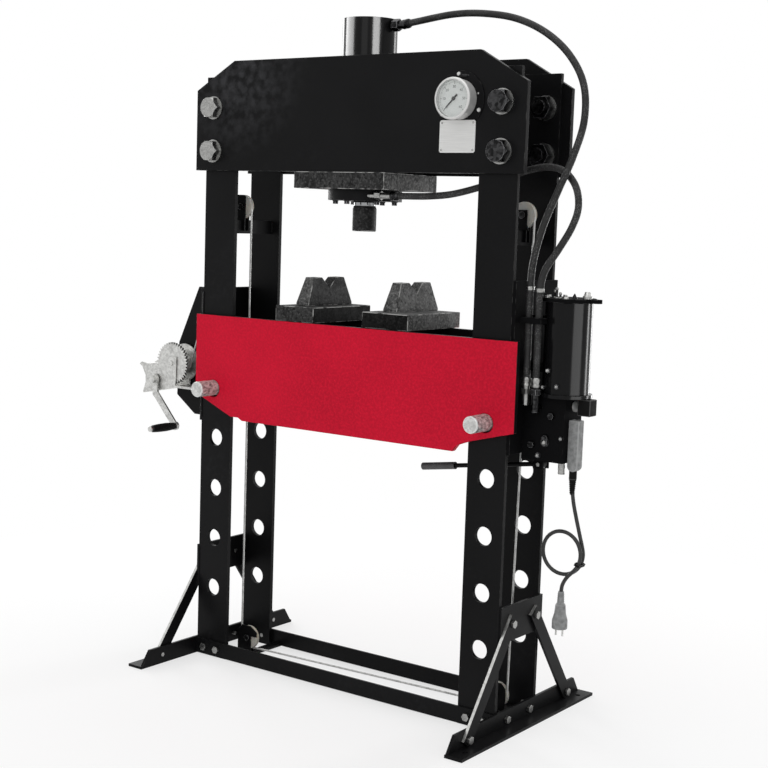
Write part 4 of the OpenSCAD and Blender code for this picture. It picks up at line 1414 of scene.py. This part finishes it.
class PRESS_OT_winch(bpy.types.Operator):
    """Winch wall, side plates, drum, pinion, crank and grip"""

    bl_idname = "press.winch"
    bl_label = "Winch"
    bl_options = {"REGISTER", "UNDO"}

    def execute(self, context):
        sizes = context.scene.press_sizes
        dress("winch_mount", "black_enamel")
        dress("winch_frame", "zinc_plate", radius=0.7 * MM)
        dress("winch_drum", "zinc_plate", radius=0.25 * MM)
        dress("winch_pinion", "zinc_plate", radius=0.25 * MM)
        dress("crank_arm", "zinc_plate", radius=0.8 * MM)
        dress("crank_grip", "black_plastic", radius=0.6 * MM)
        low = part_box("winch_mount")[0].z / MM
        runs = [rise(GUSSET_EDGE, y, low + 8, low + WALL_TOP) for y in GUSSET_FACES]
        for y in (-TIE_EDGE, TIE_EDGE):
            runs.append(rise(-TIE_FACE, y, low + 10, low + WALL_TOP))
        weld("winch_welds", "frame", runs, "black_enamel", sizes.weld_radius)
        return {"FINISHED"}


GUARD_GAP = (11.4, 7.4)  # front and back of a guard before the middle of its sheave
UPPER_LEFT_GUARD = ((-36, -40), (14, -40), (14, 30), (8, 34), (-18, 34), (-36, 18))
# the upper right guard is cut to cover the part of its sheave that lies in shade: a dark plate put
# where there is shade
UPPER_RIGHT_GUARD_AND_SHADE = ((-36, -40), (20, -40), (10, -16), (-4, 0), (-16, 10), (-36, 14))
LOWER_LEFT_GUARD = (
    (-36, -40),
    (0, -40),
    (0, 6),
    (36, 6),
    (36, 20),
    (12, 36),
    (-20, 36),
    (-36, 20),
)
LOWER_RIGHT_GUARD = ((-36, -40), (30, -40), (30, 20), (16, 34), (-20, 34), (-36, 20))
SHEAVES = (
    ("sheave_upper_left", UPPER_LEFT, SHEAVE_Z, UPPER_LEFT_GUARD),
    ("sheave_upper_right", UPPER_RIGHT, SHEAVE_Z, UPPER_RIGHT_GUARD_AND_SHADE),
    ("sheave_lower_left", LOWER_LEFT, LOW_Z, LOWER_LEFT_GUARD),
    ("sheave_lower_right", LOWER_RIGHT, LOW_Z, LOWER_RIGHT_GUARD),
)


class PRESS_OT_sheaves(bpy.types.Operator):
    """Four rope sheaves on their axles, with rope guards; the upper right guard also stands as a
    dark plate where its sheave lies in shade
    """

    bl_idname = "press.sheaves"
    bl_label = "Sheaves"
    bl_options = {"REGISTER", "UNDO"}

    def execute(self, context):
        sizes = context.scene.press_sizes
        guards = Shape()
        for node, (x, y), height, outline in SHEAVES:
            dress(node, "white_nylon", radius=0.3 * MM)
            front, back = (y - gap for gap in GUARD_GAP)
            guards.add(slab([(x + dx, height + dz) for dx, dz in outline], front, back))
        dress("sheave_axles", "black_oxide", radius=sizes.small_round)
        piece("sheave_guards", guards.bm, "frame", ["black_enamel"])
        return {"FINISHED"}


BLOCK_FRONT = -45
BLOCK_LOW = 714.5
LEVER_BOSS = (600, 17.2)  # end along X and half width of the lever's boss under the block
LEVER_GRIP = 304
SOLENOID_CORE = BLOCK_X + 138
SWITCH_LOW = 690
HEAD_LEVEL = 1700


class PRESS_OT_pump(bpy.types.Operator):
    """Pump block, oil tank, solenoid, switch box, unions and valve lever"""

    bl_idname = "press.pump"
    bl_label = "Pump unit"
    bl_options = {"REGISTER", "UNDO"}

    def execute(self, context):
        sizes = context.scene.press_sizes
        dress("pump_bracket", "matt_enamel")
        dress("pump_block", "matt_enamel", "bolt_zinc", "black_oxide", pick=self.block_finish)
        catch_cards(dress("oil_tank", "gloss_enamel", radius=1.5 * MM), "tank")
        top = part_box("oil_tank")[1].z / MM
        dress("tank_lid", "matt_enamel", "zinc_plate", pick=lambda c: int(c.z > top + 10.2))
        dress(
            "solenoid",
            "black_plastic",
            "plate_metal",
            radius=2.0 * MM,
            pick=lambda c: int(c.x < SOLENOID_CORE - 1),
        )
        dress(
            "switch_box",
            "grey_plastic",
            "black_plastic",
            radius=3.0 * MM,
            segments=3,
            pick=lambda c: int(c.z < SWITCH_LOW),
        )
        dress(
            "hose_fittings",
            "bolt_zinc",
            "black_oxide",
            radius=sizes.small_round,
            pick=self.union_finish,
        )
        dress(
            "control_lever",
            "black_enamel",
            "dark_grip",
            radius=sizes.small_round,
            pick=lambda c: int(c.x < LEVER_GRIP),
        )
        return {"FINISHED"}

    def block_finish(self, c):
        """Dark plugs in front, bright stubs underneath, painted elsewhere."""
        if c.y < BLOCK_FRONT - 0.4:
            return 2
        end, half = LEVER_BOSS
        return int(c.z < BLOCK_LOW and (c.x > end or abs(c.y) > half))

    def union_finish(self, c):
        """Dark at the cylinder and at the lower hose's foot."""
        return int(c.z > HEAD_LEVEL or (c.z < HOSE_FOOT and c.x > HOSE_X[0] + 14))


TANK_COUPLINGS = ((611, -57, 949, 13), (637, -60, 911, 10), (595, -49, 905, 12))
BLOCK_COUPLINGS = ((602, 765, 17), (584, 730, 11), (648, 779, 9))
LID_STEMS = ((614, -40, 22), (626, -44, 10), (600, -24, 14))
LID_CONE = ((0, 14), (2, 12), (7, 2), (7, 0), (0, 0))
HOSE_BANDS = (1153, 1149)
BAND = ((8.6, -5), (10.2, -4.6), (10.6, -4), (10.6, 4), (10.2, 4.6), (8.6, 5), (8.6, -5))
GAUGE_RIVET = ((0, 2.2), (1.8, 1.8), (2.8, 0.8), (3.0, 0), (0, 0))
GAUGE_HOOD = ((0, 5), (6, 4.4), (9, 2.6), (10, 0), (0, 0))


class PRESS_OT_fittings(bpy.types.Operator):
    """Small couplings, clips and screws on the pump unit and the head"""

    bl_idname = "press.fittings"
    bl_label = "Small fittings"
    bl_options = {"REGISTER", "UNDO"}

    def execute(self, context):
        shape = Shape()
        tank = centre("oil_tank").x / MM
        for x, y, z, size in TANK_COUPLINGS:
            self.coupling(shape, mm(x, y, z), (x - tank, y, 0), size)
        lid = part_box("oil_tank")[1].z / MM + 9
        for x, y, tall in LID_STEMS:
            self.stem(shape, mm(x, y, lid), tall)
        shape.add(turned(LID_CONE, 24), facing(mm(650, -14, lid), (0, 0, 1)), 1)
        for x, z in zip(HOSE_X, HOSE_BANDS):
            shape.add(turned(BAND, 28), Matrix.Translation(mm(x + 0.4, HOSE_Y, z)))
        for x, z, size in BLOCK_COUPLINGS:
            self.coupling(shape, mm(x, BLOCK_FRONT, z), (0, -1, 0), size)
        shape.add(turned(GAUGE_RIVET, 20), facing(mm(410, -123, 1633), (0, -1, 0)))
        hood = facing(mm(366, -122, 1678), (0, -1, 0)) @ Matrix.Diagonal((1.6, 0.5, 1, 1))
        shape.add(turned(GAUGE_HOOD, 24), hood, 1)
        finishes = ["bolt_zinc", "black_oxide"]
        piece("small_fittings", shape.bm, "frame", finishes, smooth=40)
        return {"FINISHED"}

    def coupling(self, shape, at, direction, size):
        """Collar, hexagon and domed cap on a wall."""
        place = facing(at, direction)
        collar, r = size * 0.7, size * 0.42
        shape.add(turned([(0, -3), (collar, -3), (collar, 2), (0, 2)], 24), place, 1)
        shape.add(hexagon(size, 5), place @ Matrix.Translation((0, 0, 2 * MM)), 1)
        dome = [(0, 7 + r), (r * 0.5, 7 + r * 0.87), (r * 0.87, 7 + r * 0.5)]
        shape.add(turned(dome + [(r, 7), (r, 5), (0, 5)], 24), place)

    def stem(self, shape, at, tall):
        """Short pipe with a nut and a ball end."""
        place = facing(at, (0, 0, 1))
        shape.add(turned([(0, -1), (3, -1), (3, tall), (0, tall)], 20), place, 1)
        shape.add(hexagon(8, 4), place)
        ball = ((0, 7), (2.4, 6.2), (3.9, 4), (4.2, 2.4), (3.4, 0), (0, 0))
        shape.add(turned([(r, tall + h) for r, h in ball], 24), place)


OPERATORS = (
    PRESS_OT_stage,
    PRESS_OT_hoses,
    PRESS_OT_mains_lead,
    PRESS_OT_ropes,
    PRESS_OT_frame_steel,
    PRESS_OT_head,
    PRESS_OT_gauge,
    PRESS_OT_bed,
    PRESS_OT_winch,
    PRESS_OT_sheaves,
    PRESS_OT_pump,
    PRESS_OT_fittings,
)


class PRESS_PT_panel(bpy.types.Panel):
    """Lists the operators and the values of the press"""

    bl_idname = "PRESS_PT_panel"
    bl_label = "Workshop Press"
    bl_space_type = "VIEW_3D"
    bl_region_type = "UI"
    bl_category = "Press"

    def draw(self, context):
        for made in OPERATORS:
            self.layout.operator(made.bl_idname)
        for group in (context.scene.press_sizes, context.scene.press_colours):
            box = self.layout.box()
            for key in group.__annotations__:
                box.prop(group, key)


CLASSES = (PressSizes, PressColours, *OPERATORS, PRESS_PT_panel)


def register():
    for made in CLASSES:
        bpy.utils.register_class(made)
    bpy.types.Scene.press_sizes = PointerProperty(type=PressSizes)
    bpy.types.Scene.press_colours = PointerProperty(type=PressColours)


def unregister():
    del bpy.types.Scene.press_colours
    del bpy.types.Scene.press_sizes
    for made in reversed(CLASSES):
        bpy.utils.unregister_class(made)


def main():
    register()
    bpy.ops.press.stage()
    bpy.ops.press.hoses()
    bpy.ops.press.mains_lead()
    bpy.ops.press.ropes()
    bpy.ops.press.frame_steel()
    bpy.ops.press.head()
    bpy.ops.press.gauge()
    bpy.ops.press.bed()
    bpy.ops.press.winch()
    bpy.ops.press.sheaves()
    bpy.ops.press.pump()
    bpy.ops.press.fittings()


if __name__ == "__main__":
    main()
